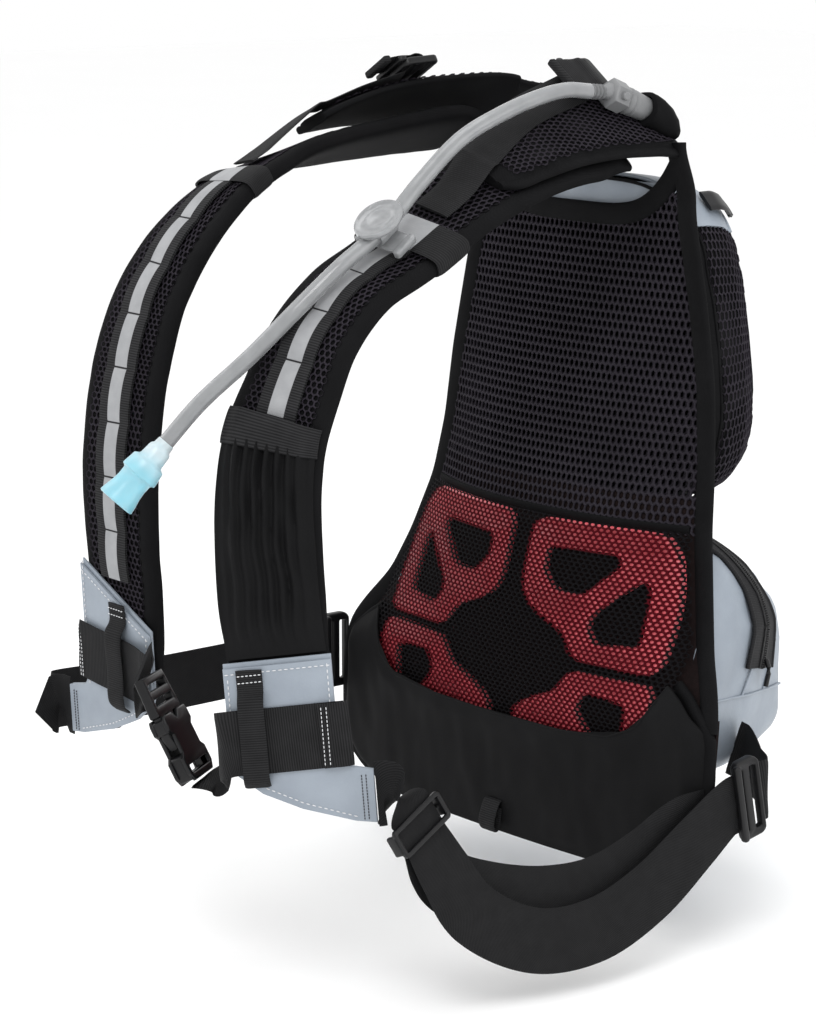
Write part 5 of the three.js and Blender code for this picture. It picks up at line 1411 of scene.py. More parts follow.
def make_wing_binding():
    """The folded binding round the wings' outer edges and the hem along the bottom."""
    shape = Shape()
    for side in (1, -1):
        share = np.linspace(0.8, 1.0, 26)
        top = look_up(POCKET_TOP_ROWS, "across", "down", share)
        upper = [(side * s * (PANEL_HALF - 2), panel_z(d)) for s, d in zip(share, top)]
        low_share = np.linspace(1.0, 0.7, 40)
        low = look_up(POCKET_LOW_ROWS, "across", "down", low_share)
        under = [(side * s * (PANEL_HALF - 2), panel_z(d) + 2) for s, d in zip(low_share, low)]
        line = np.array(upper + under[1:])
        kernel = np.ones(5) / 5
        for axis in (0, 1):
            line[2:-2, axis] = np.convolve(line[:, axis], kernel, mode="valid")
        bound_edge(shape, on_panel(line[:, 0], line[:, 1], 1.5), 5.0, 6.0)
    x = np.linspace(-0.72, 0.72, 60) * PANEL_HALF
    bound_edge(shape, on_panel(x, panel_z(1) + 3 + 0 * x, 7.0), 3.6, 4.4)
    return shape.piece("wing_binding_cloth", [BLACK_CLOTH], 60)


def make_bottom_loop():
    top = panel_z(1) + LOOP_UP
    seat = vec(0.0, float(panel_y(0, top)) - 10.6, top)
    line = [(0.2, 0), (1.4, -0.5), (3.2, -3), (5.2, -8), (6.6, -13), (6.3, -17), (4.5, -19.6), (2.2, -18)]
    line += [(1.0, -12), (0.4, -5)]
    rows = [(seat + vec(0.0, -out, down), (1.0, 0.0, 0.0)) for out, down in line]
    shape = Shape()
    shape.ribbon(rows, LOOP_WEB, 1.4, 6)
    return shape.piece("bottom_loop_web", [WEB], 50)


# Bags

BAG_RIM = BINDING_THICK / 2 + GAP - 3


def bag_point(bag, angle, deep, inset=0.0):
    """A point of a bag's skin: degrees round from the left side over the top, and a share of its depth."""
    a = math.radians(angle)
    p = math.copysign(abs(math.cos(a)) ** (2 / bag["power"]), math.cos(a))
    q = math.copysign(abs(math.sin(a)) ** (2 / bag["power"]), math.sin(a))
    wide, over, under = (look_up(bag["rows"], "deep", key, deep) for key in ("wide", "top", "bottom"))
    height = bag["bottom"] - bag["top"]
    top = bag["top"] + height * over - inset
    bottom = bag["top"] + height * under + inset
    z = mix(bottom, top, (q + 1) / 2)
    x = p * (wide * (panel_half(max(z, WING_TOP + 40)) - BAG_INSET) - inset)
    rim = panel_y(x, z) + BAG_RIM
    return vec(x, mix(rim, bag["depth"] - inset, deep), z)


BAG_ANGLES = np.linspace(0, 360, 97)[:-1]
BAG_DEEPS = np.linspace(0, 1, 25)
BAG_WALL = 1.8


def bag_swell(bag, angle, deep, seed):
    """Soft dents and creases in the bag's cloth."""
    p = bag_point(bag, angle, deep)
    fade = ease(deep / 0.12)
    large = ripple(p[0] + seed, p[1], p[2], 60)
    small = ripple(p[0] + seed, p[1] * 0.6, p[2] * 1.6, 19)
    return fade * (2.4 * large + 1.3 * small)


def make_bag(name, bag, material, seed, seams=()):
    """A shell with a wall, open towards the panel and closed by a crowned back."""
    skin = bag_skin(bag)

    def ring(deep, inset):
        swell = np.array([bag_swell(bag, a, deep, seed) for a in BAG_ANGLES])
        return skin.at(BAG_ANGLES, deep, swell - inset)

    def crown(rim, inset):
        centre = rim.mean(axis=0)
        rings = []
        for share in (0.94, 0.82, 0.64, 0.44, 0.24, 0.05):
            points = centre + (rim - centre) * share
            puff = [1.6 * ripple(p[0] + seed, p[2], 4.0, 45) * (1 - share) for p in points]
            points[:, 1] = bag["depth"] - inset - 0.6 * share ** 3 + np.array(puff)
            rings.append(points)
        return rings

    outer = [ring(deep, 0.0) for deep in BAG_DEEPS]
    inner = [ring(deep, BAG_WALL) for deep in BAG_DEEPS]
    rings = crown(inner[-1], BAG_WALL)[::-1] + inner[::-1] + outer + crown(outer[-1], 0.0)
    shape = Shape()
    shape.loft(rings)
    for deep, first, last in seams:
        angles = np.linspace(first, last, 110)
        swell = np.array([bag_swell(bag, a, deep, seed) for a in angles])
        shape.tube(skin.at(angles, deep, swell + 0.3), 0.9, 8)
    return shape.piece(name, [material], 60)


def bag_skin(bag):
    return Skin(lambda a, d: bag_point(bag, a, d), np.linspace(-90, 360, 226), np.linspace(0, 1, 41), -1)


def make_zip():
    """Zip tape over the bag's top with its coil and a cord pull at the near end.

    Its rows lie closer together where the bag's outline turns its corners.
    """
    skin = bag_skin(LOWER_BAG)
    power = LOWER_BAG["power"] / 2
    low = np.degrees(np.arcsin(np.linspace(0, ZIP_CORNER, 40) ** power))
    high = np.degrees(np.arccos(np.linspace(ZIP_CORNER, 0, 60) ** power))
    left = np.concatenate([low, high[1:]])
    angles = np.concatenate([left, 180 - left[-2::-1]])
    mirrored = np.where(angles > 90, 180 - angles, angles)
    middle = look_up(ZIP_ROWS, "angle", "deep", mirrored)
    half = ZIP_WIDTH / 2 / LOWER_BAG_DEPTH
    across = np.linspace(-1, 1, 9)
    front = np.array([skin.at(angles, middle + s * half, 3.2 + 0.5 * (1 - abs(s))) for s in across])
    back = np.array([skin.at(angles, middle + s * half, 0.8) for s in across])
    shape = Shape()
    shape.slab(front.transpose(1, 0, 2), back.transpose(1, 0, 2), across * ZIP_WIDTH / 2, distances(front[4]))
    for s in (-0.208, 0.208):
        shape.tube(skin.at(angles, middle + s * half, 3.9), 0.85, 8, slot=1)
    for s in (-1.05, 1.05):
        shape.tube(skin.at(angles, middle + s * half, 2.6), 1.5, 8)
    pull = skin.at([0.6, 0.1, -0.3, -1.2], ZIP_END - 0.005, [4.5, 7.0, 7.4, 6.4])
    shape.tube(pull, 1.6, 10, slot=1)
    teeth = [skin.at(angles, middle, 4.2)]
    coil = repeat_along("zip_coil", teeth, 1.5, (0.8, 3.0, 1.0), BLACK)
    return shape.piece("bag_zip_tape", [ZIP, BLACK], 50), coil


SIDE_SEAM = -1.7


def make_bag_seams():
    """The sewn line round each side of the lower bag, with the two pleats under the zip's end."""
    skin = bag_skin(LOWER_BAG)
    shape = Shape()

    def line(angles, deeps):
        pairs = np.broadcast(angles, deeps)
        swell = np.array([bag_swell(LOWER_BAG, a, d, LOWER_SEED) for a, d in pairs])
        shape.tube(skin.at(angles, deeps, swell + 0.4), 0.8, 8)

    half = ZIP_WIDTH / 2 / LOWER_BAG_DEPTH
    for base, turn in ((0, 1), (180, -1)):
        line(base + turn * SIDE_SEAM, np.linspace(0.05, 0.88, 40))
        for share in (-0.9, 0.9):
            deeps = ZIP_END + share * half + np.linspace(0, -0.05, 12)
            line(base + turn * np.linspace(0, SIDE_SEAM, 12), deeps)
    return shape.piece("lower_bag_seams", [COATED], 60)


def make_cover():
    """The coated cover over the upper bag's top, with the apron that hangs behind the scoop."""
    skin = bag_skin(UPPER_BAG)
    shape = Shape()
    angles = np.linspace(30, 150, 80)
    deeps = np.linspace(0.1, 0.72, 20)

    def high(a, d):
        return 2.3 + 0.9 * over_grid(lambda x, y: ripple(x * 2, y * 60, 5.0, 22), a, d)

    skin.sheet(shape, angles, deeps, 0.6, high, scale=(1.3, UPPER_BAG_DEPTH))
    for deep in (0.1, 0.72):
        shape.tube(skin.at(angles, deep, 1.8), 1.2, 8)
    x = np.linspace(8 - SCOOP_HALF, SCOOP_HALF - 8, 50)
    down = np.linspace(0, 1, 10)[:, None]
    z = mix(UPPER_BAG_TOP - 1.5, scoop(x) - 9, down)
    x = np.broadcast_to(x, z.shape)
    folds = over_grid(lambda a, b: 0.8 * ripple(a, b * 2, 7.0, 20), x, z)
    shape.slab(on_panel(x, z, folds - 3.0), on_panel(x, z, folds - 4.2), x[0], z[:, 25])
    return shape.piece("top_cover_coated", [COATED], 60)


def make_tag(side, word):
    """A moulded tag that arches over the bag's shoulder, with a bar at its hind end."""
    skin = bag_skin(UPPER_BAG)
    centre = 45 if side > 0 else 135
    rows = []
    for step in np.linspace(0, 1, 6):
        point = skin.at(centre, 0.38 + 0.34 * step, 5.2 + 2.2 * math.sin(step * 2.6))
        rows.append((point, skin.at(centre + 3, 0.5, 0) - skin.at(centre - 3, 0.5, 0)))
    shape = Shape()
    shape.ribbon(rows, 15, 2.6, 6)
    shape.tube(skin.at(np.linspace(centre - 6, centre + 6, 8), 0.72, 6.4), 1.8, 10)
    return shape.piece(f"bag_tag_{word}_moulded", [BLACK], 50)


def make_gusset():
    """The hex net panels on both sides of the upper bag, between plain bands."""
    skin = bag_skin(UPPER_BAG)
    nets = []
    for side, word in SIDES:
        base = 0.0 if side > 0 else 180.0
        line = skin.at(base + np.linspace(-46, 42, 120), 0.5, 0)
        length = distances(line)
        angles = np.linspace(-46, 42, 120)

        def at(u, v, out, base=base, length=length, angles=angles, side=side):
            return skin.at(base + side * np.interp(v, length, angles), 0.5 + u / UPPER_BAG_DEPTH, out + 1.2)

        nets.append(hex_net(
            f"gusset_net_{word}", at, (-22, 16), (2, length[-1] - 4), PANEL_CELL, lambda u, v: True,
            [HEX], 1.4,
        ))
    return nets


# Shoulder straps

STRAPS = {
    side: [{
        "x": side * row["out"] * STRAP_SPREAD,
        "y": -row["fore"] * STRAP_REACH,
        "z": -row["drop"] * STRAP_DROP,
        "turn": row["turn"],
    } for row in STRAP_ROWS[side]]
    for side in (1, -1)
}


def strap_frame(side, place):
    """The face's middle, and the directions along it, to its outer edge and out of it."""
    rows = STRAPS[side]

    def at(t):
        return vec(*(column(rows, key, t) for key in "xyz"))

    step = 0.004
    along = unit(at(min(1, place + step)) - at(max(0, place - step)))
    flat = unit(vec(1, 0, 0) - along * along[0])
    face = np.cross(along, flat)
    turn = math.radians(side * column(rows, "turn", place))
    normal = face * math.cos(turn) + flat * math.sin(turn)
    width = (flat * math.cos(turn) - face * math.sin(turn)) * side
    return {"origin": at(place), "along": along, "width": width, "normal": normal}


def on_strap(side, place, across, out):
    f = strap_frame(side, clamp(place))
    beyond = (place - clamp(place)) * STRAP_LENGTH
    return f["origin"] + f["width"] * across + f["normal"] * out + fall_of(side) * beyond


def fall_of(side):
    """The way that the strap's end, and the tab on it, hang."""
    return unit(mix(strap_frame(side, 1)["along"], vec(0, 0, -1), 0.35))


STRAP_END = {1: 1.0, -1: 1.085}
STRAP_NET_FROM = {1: 0.1, -1: 0.12}


def strap_skin(side):
    half = STRAP_WIDTH / 2
    places = np.linspace(0, STRAP_END[side], 170)
    return Skin(lambda a, t: on_strap(side, t, a, 0), np.linspace(-half, half, 9), places, -side)


EDGE_BAND = 8.5


def strap_profile(half):
    """A padded section as pairs of across and out: rounded edge bands beside a sunken face."""
    points = []
    for p, q in rounded_section(56, 0.45, 0.55):
        across = p * half
        out = mix(-STRAP_THICK, 0.0, (q + 1) / 2)
        inwards = half - abs(across)
        if q > 0:
            sunk = 1.5 * ease((inwards - EDGE_BAND) / 1.6)
            out -= sunk - 0.35 * math.exp(-((inwards - 4.5) / 3.0) ** 2)
        points.append((across, out))
    return points


def make_strap(side, word):
    shape = Shape()
    steps = 150
    rings = []
    for i in range(steps + 1):
        place = STRAP_END[side] * i / steps
        tip = 1 - 0.25 * (1 - ease(i / 14)) - 0.06 * (1 - ease((steps - i) / 14))
        thin = 1 - 0.5 * (1 - ease(i / 6)) - 0.35 * (1 - ease((steps - i) / 5))
        f = strap_frame(side, clamp(place))
        seat = on_strap(side, place, 0, 0)
        ring = []
        for across, out in strap_profile(STRAP_WIDTH / 2 * tip):
            wave = 0.35 * ripple(across * 0.6, place * STRAP_LENGTH, 3.0 * side, 17)
            middle = -STRAP_THICK / 2
            ring.append(seat + f["width"] * across + f["normal"] * (middle + (out - middle) * thin + wave))
        rings.append(ring)
    across = [a for a, _ in strap_profile(STRAP_WIDTH / 2)]
    shape.loft(rings, [*across, across[0]])
    return shape.piece(f"shoulder_strap_{word}_cloth", [BLACK_CLOTH], 60)


def make_strap_net(side, word):
    skin = strap_skin(side)
    half = STRAP_WIDTH / 2 - EDGE_BAND + 0.5
    end = POCKET_FROM + 0.01 if side > 0 else STRAP_END[-1] - 0.02

    def at(u, v, out):
        return skin.at(u, v / STRAP_LENGTH, out - 0.55)

    def inside(u, v):
        return abs(u) < half - 1

    reach = (STRAP_NET_FROM[side] * STRAP_LENGTH, end * STRAP_LENGTH)
    return hex_net(f"strap_net_{word}", at, (-half, half), reach, STRAP_CELL, inside, [HEX], 1.2, 1.35)


def make_daisy(side, word):
    """Ribbed webbing down the strap, tacked at even steps and standing up a little between them."""
    skin = strap_skin(side)
    start = BAND_AT[side] + 0.02
    end = POCKET_FROM + 0.005 if side > 0 else 0.97
    places = np.linspace(start, end, 170)
    length = distances(skin.at(0, places, 0))
    across = np.linspace(-DAISY_WIDTH / 2, DAISY_WIDTH / 2, 13)
    rise = np.abs(np.sin(math.pi * length / TACK_STEP)) ** 0.6
    u, v = np.meshgrid(across, places)
    lift = 0.5 + 1.7 * rise[:, None] * (1 - 0.25 * np.abs(across / DAISY_WIDTH * 2)[None, :] ** 4)
    front = skin.at(u, v, lift + WEB_THICK * 0.8)
    back = skin.at(u, v, lift - 0.3)
    shape = Shape()
    shape.slab(front, back, across, length - TACK_STEP / 2)
    return shape.piece(f"strap_webbing_{word}_daisy", [DAISY], 50)


def make_band(side, word):
    """Webbing round the strap with its reflective stripe on the band's own middle."""
    shape = Shape()
    offsets = np.linspace(-1, 1, 11)
    section = rounded_section(48, 0.45, 0.55)
    half = STRAP_WIDTH / 2
    outer = []
    for s in offsets:
        f = strap_frame(side, BAND_AT[side] + s * BAND_SHARE * 0.62)
        bulge = 0.5 * (1 - s ** 6)
        ring = []
        for p, q in section:
            out = mix(-STRAP_THICK, 2.6, (q + 1) / 2) + math.copysign(bulge, q)
            ring.append(f["origin"] + f["width"] * p * (half + 2.0 + bulge) + f["normal"] * out)
        outer.append(ring)
    rings = np.array(outer).transpose(1, 0, 2)
    inner = mix(rings, rings.mean(axis=(0, 1)), 0.06)
    closed = np.concatenate([rings, inner[:, ::-1]], axis=1)
    us = offsets * BAND_LENGTH * 0.62
    around = [p * half for p, _ in section]
    shape.loft(closed, [*us, *us[::-1], us[0]], around, looped=True)
    return shape.piece(f"cross_band_{word}_web", [STRIPED], 50)


def make_strap_pocket():
    """Gathered stretch cloth on the left strap's lower part."""
    skin = strap_skin(1)
    half = STRAP_WIDTH / 2 - 2.5
    shape = Shape()
    across = np.linspace(-half, half, 61)
    places = np.linspace(POCKET_FROM + 0.035, 0.988, 70)

    def gather(a, t):
        sway = 1.6 * ripple(a * 0.2, t * 260, 1.0, 14)
        return math.sin(a * 0.95 + sway) + 1.4 * ripple(a * 2.2, t * 150, 4.0, 9)

    def bulge(u, v):
        edge = ease((half - np.abs(u)) / 12) * ease((0.99 - v) / 0.05)
        share = (v - POCKET_FROM) / (0.988 - POCKET_FROM)
        depth = 1.8 * (1 - 0.5 * share) * ease(share / 0.06)
        return edge * (4.6 + over_grid(gather, u, v) * depth)

    skin.sheet(shape, across, places, lambda u, v: 0.5 + bulge(u, v), lambda u, v: 1.7 + bulge(u, v),
               scale=(1.0, STRAP_LENGTH))
    return shape.piece("strap_pocket_gathered", [STRETCH], 60)


def make_pocket_band():
    skin = strap_skin(1)
    half = STRAP_WIDTH / 2 - 1.5
    shape = Shape()
    across = np.linspace(-half, half, 41)
    places = np.linspace(POCKET_FROM - 0.004, POCKET_FROM + 0.045, 14)

    def height(u, v):
        share = (v - places[0]) / (places[-1] - places[0])
        roll = 1 - np.abs(2 * share - 1) ** 5
        return 1.6 + 5.2 * ease((half - np.abs(u)) / 11) + 0.9 * roll

    skin.sheet(shape, across, places, lambda u, v: height(u, v) - 2.2, height, scale=(1.0, STRAP_LENGTH))
    return shape.piece("pocket_band_elastic", [webbing("pocket_elastic", 2.1, 0.028)], 50)


# Yoke

def yoke_frame(place):
    def at(t):
        return vec(
            column(YOKE_ROWS, "out", t) * YOKE_SPREAD,
            -column(YOKE_ROWS, "fore", t) * YOKE_REACH,
            column(YOKE_ROWS, "rise", t) * YOKE_RISE,
        )

    step = 0.004
    along = unit(at(min(1, place + step)) - at(max(0, place - step)))
    level = unit(np.cross(along, vec(0, 0, 1)))
    up = np.cross(level, along)
    slope = math.radians(column(YOKE_ROWS, "slope", place))
    outward = level * math.cos(slope) - up * math.sin(slope)
    normal = up * math.cos(slope) + level * math.sin(slope)
    return {"origin": at(place), "along": along, "outward": outward, "normal": normal}


def on_yoke(place, across, out):
    f = yoke_frame(clamp(place))
    return f["origin"] + f["outward"] * across + f["normal"] * out


def make_yoke():
    """The padded yoke and its flaps, with a rolled edge, sewn rows and soft creases."""
    shape = Shape()
    section = rounded_section(44, 0.5, 0.55)
    rings = []
    for place in np.linspace(0, 1, 201):
        neck = column(YOKE_ROWS, "neck", place) * YOKE_HALF
        outer = column(YOKE_ROWS, "outer", place) * YOKE_HALF
        f = yoke_frame(place)
        ring = []
        for p, q in section:
            across = p * (outer if p > 0 else neck)
            out = (q * YOKE_THICK - YOKE_THICK) / 2
            inwards = (1 - abs(p)) * (outer if p > 0 else neck)
            if q > 0:
                seam = math.exp(-((inwards - 6.0) / 1.1) ** 2)
                crown = ease((inwards - 6.0) / 9.0)
                wave = ripple(f["origin"][0] * 1.0, f["origin"][1] + across * 0.5, across, 21)
                out += 1.2 * crown + 1.5 * wave * crown - 0.9 * seam
            ring.append(f["origin"] + f["outward"] * across + f["normal"] * out)
        rings.append(ring)
    shape.loft(rings)
    return shape.piece("neck_yoke_padded", [BLACK_CLOTH], 60)


def make_yoke_net():
    """The mesh face of the yoke, inside its sewn border."""
    skin = Skin(lambda a, t: on_yoke(t, a, 0), np.linspace(-1, 1, 9) * YOKE_HALF, np.linspace(0, 1, 160))
    if np.dot(skin.normals[80, 4], yoke_frame(0.5)["normal"]) < 0:
        skin.normals = -skin.normals
    places = np.linspace(0, 1, 200)
    length = distances(skin.at(0, places))

    def reach(key, v):
        return column(YOKE_ROWS, key, float(np.interp(v, length, places))) * YOKE_HALF - 8

    def inside(u, v):
        return -reach("neck", v) < u < reach("outer", v)

    def at(u, v, out):
        return skin.at(u, np.interp(v, length, places), out + 1.6)

    return hex_net(
        "neck_yoke_net", at, (-YOKE_HALF, 1.3 * YOKE_HALF), (14, length[-1] - 14), STRAP_CELL, inside, [HEX],
        1.2, 1.35,
    )


LIFTER_AT = {1: 0.275, -1: 0.18}


def make_lifter(side, word):
    """Flat webbing from the band on the strap to the lifter's buckle on the yoke."""
    end = 0.0 if side > 0 else 1.0
    lift = GAP + WEB_THICK / 2 + 0.8
    band = strap_frame(side, BAND_AT[side] - BAND_SHARE)["width"]

    def yoke_at(s, across, out):
        return on_yoke(end + side * s, across, out)

    def wide(s):
        return yoke_frame(end + side * s)["outward"]

    rows = [
        (on_strap(side, BAND_AT[side] - BAND_SHARE * 0.95, 0, lift + 1.6), band),
        (on_strap(side, BAND_AT[side] - BAND_SHARE * 1.9, 0, lift + 3), band),
        (yoke_at(0.012, -4, lift + 2.5), wide(0.03)),
        (yoke_at(0.05, -6, lift + 1.4), wide(0.05)),
        (yoke_at(LIFTER_AT[side] * 0.6, -14, lift + 1.4), wide(LIFTER_AT[side] * 0.6)),
        (yoke_at(LIFTER_AT[side] * 0.92, -20, lift + 1.6), wide(LIFTER_AT[side] * 0.9)),
    ]
    shape = Shape()
    shape.ribbon(rows, LIFTER_WEB, WEB_THICK, 12)
    return shape.piece(f"lifter_strap_{word}_web", [WEB], 50)


def make_lifter_buckle(side, word):
    """A ladder lock with webbing folded over its middle bar and its loose end on top."""
    end = LIFTER_AT[1] if side > 0 else 1 - LIFTER_AT[-1]
    f = yoke_frame(end)
    seat = on_yoke(end, -24, 7 * GAP + 2.5 + WEB_THICK)
    ways = (f["outward"], f["along"])
    shape = Shape()
    shape.plate(rounded_box(31, 26, 4), slots(25, 1, 5.5, -5.5), 5, 1.2, (seat, *ways))
    shape.plate(rounded_box(31, 6, 2.5, y=-side * 13.5), [], 3.4, 1.0, (seat, *ways), lift=2.4)
    loop = [(9, -2.5), (5.5, 0.4), (3.4, 4.2), (-1, 5.6), (-5.5, 4.8), (-12, 5.2), (-20, 4.8), (-23, 4.4)]
    points = placed([vec(0, y * side, z) for y, z in loop], seat, *ways)
    shape.ribbon([(point, f["outward"]) for point in points], LIFTER_WEB - 1, 1.7, 6, slot=1)
    shape.plate(rounded_box(LIFTER_WEB, 5, 1.5), [], 4.4, 1.2, (points[-1], *ways), slot=1)
    return shape.piece(f"lifter_buckle_{word}_set", [BLACK, WEB], 45)


# Grey tabs, keepers and the belt

TAB_LOW = GAP * 2
TAB_FACE = TAB_LOW + TAB_THICK
TAB_SLANT = {1: 0.0, -1: 0.55}
TAB_ROWS = [
    (-31, 0), (31, 0), (31, 60), (34, 65), (TAB_WING, 69), (TAB_WING, 100), (38, 98), (8, 88), (-14, 77),
    (-29, 64), (-31, 58),
]


def tab_point(side, across, down, out):
    return on_strap(side, TAB_AT, across, out) + fall_of(side) * down


def tab_line(side, margin, rows):
    """Places on the tab's face, as across and down, with the far tab's slanted top."""
    out = TAB_FACE + 0.2
    return [tab_point(side, a, d if d > margin else d - a * TAB_SLANT[side], out) for a, d in rows]


def make_tab(side, word):
    """Two layers of coated fabric, the upper one cut a little lower."""
    shape = Shape()
    for drop, low, thick in ((0, TAB_LOW, 1.7), (2.6, TAB_LOW + 2.0, 2.0)):
        outline = [(a, a * TAB_SLANT[side] - drop if d == 0 else -d) for a, d in TAB_ROWS]
        points, faces = plate(outline[::-1], [], thick, 0.5)
        bent = np.array([tab_point(side, x, -y, low + thick / 2 + z) for x, y, z in points])
        shape.add(bent, faces)
    piece = shape.piece(f"strap_tab_{word}_coated", [COATED], 40)
    top = [(a, 6.0) for a in np.linspace(-29, 29, 30)]
    row = tab_line(side, 7.0, top)
    inner = tab_line(side, 0.0, [(-28.5, d) for d in np.linspace(10 if side > 0 else 22, 58, 20)])
    outer = tab_line(side, 0.0, [(28.5, d) for d in np.linspace(6 if side > 0 else 0, 62, 24)])
    low = tab_line(side, 0.0, [(-28, 61), (-13, 73), (9, 84.5), (38, 95)])
    lines = [row, inner, outer, low]
    white = repeat_along(f"tab_stitches_{word}", lines, 3.4, (0.75, 0.75, 2.3), WHITE_THREAD)
    bars = [tab_line(side, 0.0, [(a, d) for d in np.linspace(72, 97, 12)]) for a in (45.5, 43.0)]
    dark = repeat_along(f"tab_bars_{word}", bars, 1.7, (0.7, 0.7, 1.5), DARK_THREAD)
    return piece, white, dark


BELT_DOWN = 46
BELT_OUT = TAB_FACE + GAP + WEB_THICK / 2
KEEPER_ACROSS = {1: -16, -1: -4}
BUCKLE_CENTRE = vec(-17, -314, -317)
BUCKLE_ALONG = unit(vec(0.41, 0.23, -0.88))
BUCKLE_ACROSS = vec(0.62, -0.76, 0.08)


def make_keeper(side, word):
    near = TAB_FACE + 2 * GAP + WEB_THICK / 2
    far = near + WEB_THICK + 7 * GAP
    a = KEEPER_ACROSS[side]
    wide = strap_frame(side, 1)["width"]
    line = [(4, near), (16, near), (22, far), (46, far), (67, far), (72, near)]
    shape = Shape()
    shape.ribbon([(tab_point(side, a, down, out), wide) for down, out in line], KEEPER_WEB, WEB_THICK, 10)
    piece = shape.piece(f"keeper_{word}_web", [WEB], 50)
    rows = [[tab_point(side, a + s, down, near + 1.1) for s in np.linspace(-6, 6, 8)] for down in (7, 11)]
    white = repeat_along(f"keeper_stitches_{word}", rows, 2.3, (0.7, 0.7, 1.7), WHITE_THREAD)
    return piece, white


def make_belt(side, word):
    wide = BUCKLE_ACROSS
    fall = strap_frame(side, 1)["along"]

    def on_front(across, down=BELT_DOWN, off=0.0):
        return tab_point(side, across, down, BELT_OUT + off)

    if side > 0:
        end = BUCKLE_CENTRE + BUCKLE_ALONG * (BUCKLE_LENGTH + 4)
        rows = [
            (on_front(37), fall), (on_front(24), fall), (on_front(-6), fall), (on_front(-34), fall),
            (vec(38, -309, -331), vec(0.15, -0.2, -0.97)), (vec(26, -297, -341), vec(0.42, -0.5, -0.75)),
            (vec(13, -294, -353), vec(0.6, -0.72, -0.3)), (end, wide),
        ]
    else:
        end = BUCKLE_CENTRE - BUCKLE_ALONG * 31
        rows = [
            (on_front(34, 40, 0.8), fall), (on_front(18, 42, 0.8), fall), (on_front(-8, 44, 0.8), fall),
            (on_front(-25, 44, 4), fall), (on_front(-36, 43, 9), fall),
            (vec(-38, -314, -306), vec(0.3, -0.55, -0.75)), (end, wide),
        ]
    shape = Shape()
    shape.ribbon(rows, BELT_WEB, WEB_THICK, 16)
    if side > 0:
        fold = [(on_front(39, off=-0.4), fall), (on_front(36, off=1.6), fall), (on_front(22, off=1.9), fall)]
        shape.ribbon(fold, BELT_WEB - 0.5, 1.6, 8)
    piece = shape.piece(f"belt_web_{word}_ribbed", [WEB], 50)
    spots = (23.5, 26.5) if side > 0 else (31.0, 33.0)
    seam = [[on_front(a, BELT_DOWN - (0 if side > 0 else 5) + d, 2.9 if side > 0 else 1.9)
             for d in np.linspace(-16, 16, 16)] for a in spots]
    white = repeat_along(f"belt_stitches_{word}", seam, 2.4, (0.6, 0.6, 1.8), WHITE_THREAD)
    return piece, white


def make_buckle_female():
    """Two faces joined at the rails, open at the mouth, with side windows for the prongs."""
    half = BUCKLE_WIDTH / 2
    tall = BUCKLE_LENGTH / 2
    outline = [
        (-half + 2, -tall), (-half, -tall + 3), (-half, -12), (-half + 5, -9), (-half + 5, 3), (-half, 6),
        (-half, tall - 5), (-half + 5, tall), (half - 5, tall), (half, tall - 5), (half, 6), (half - 5, 3),
        (half - 5, -9), (half, -12), (half, -tall + 3), (half - 2, -tall), (7, -tall), (0, -tall + 5),
        (-7, -tall),
    ]
    slot = rounded_box(BELT_WEB + 1, 5, 1.5, y=tall - 7)
    seat = (BUCKLE_CENTRE + BUCKLE_ALONG * (tall + 1), BUCKLE_ACROSS, BUCKLE_ALONG)
    between = BUCKLE_THICK - 2
    shape = Shape()
    for level in (-1, 1):
        shape.plate(outline, [slot], 2.6, 0.8, seat, lift=level * (BUCKLE_THICK / 2 - 1.3))
    for x in (-1, 1):
        shape.plate(rounded_box(4, 9, 1.5, x=x * (half - 2.6), y=-tall + 6), [], between, 0.6, seat)
    shape.plate(rounded_box(BUCKLE_WIDTH - 3, 16, 3, y=tall - 9), [slot], between, 0.8, seat)
    return shape.piece("buckle_female_moulded", [BLACK], 40)


def make_buckle_male():
    """The middle tongue, two sprung prongs and the bars that the belt folds over."""
    half = BUCKLE_WIDTH / 2
    outline = [
        (-half, 0), (-half + 3, -24), (half - 3, -24), (half, 0), (half - 3, 1), (half - 3.4, 14),
        (half - 7, 22), (half - 10, 14), (half - 12, 1), (5, 1), (3, 18), (-3, 18), (-5, 1),
        (-half + 12, 1), (-half + 10, 14), (-half + 7, 22), (-half + 3.4, 14), (-half + 3, 1),
    ]
    windows = [rounded_box(BELT_WEB - 1, 4, 1.2, y=y) for y in (-17, -7.5)]
    shape = Shape()
    shape.plate(outline, windows, 6.2, 1.2, (BUCKLE_CENTRE, BUCKLE_ACROSS, BUCKLE_ALONG))
    return shape.piece("buckle_male_moulded", [BLACK], 40)


# Side straps, sliders and ladder locks

def lock_place(side):
    if side > 0:
        z = panel_z(0.878)
        centre = vec(PANEL_HALF + 4, float(panel_y(PANEL_HALF, z)) + 25, z)
        return centre, unit(vec(0, 1, 0.2))
    z = panel_z(0.81)
    x = -PANEL_HALF - LOCK_THICK / 2 - GAP
    return vec(x, float(panel_y(PANEL_HALF, z)) - LOCK_LENGTH / 2, z), vec(0, 1, 0)


def beside_lock(side, back, clear=GAP):
    centre, along = lock_place(side)
    return {"point": centre + along * back * (LOCK_LENGTH / 2 + clear), "way": along, "wide": vec(0, 0, 1)}


def beside_wing(side):
    normal = strap_frame(side, 1)["normal"]

    def point(down):
        return tab_point(side, TAB_WING + 2 * GAP, down, TAB_LOW + TAB_THICK / 2)

    fall = point(WING_DOWN + 1) - point(WING_DOWN)
    way = unit(np.cross(fall, normal) * -side)
    return {"point": point(WING_DOWN), "way": way, "wide": fall}


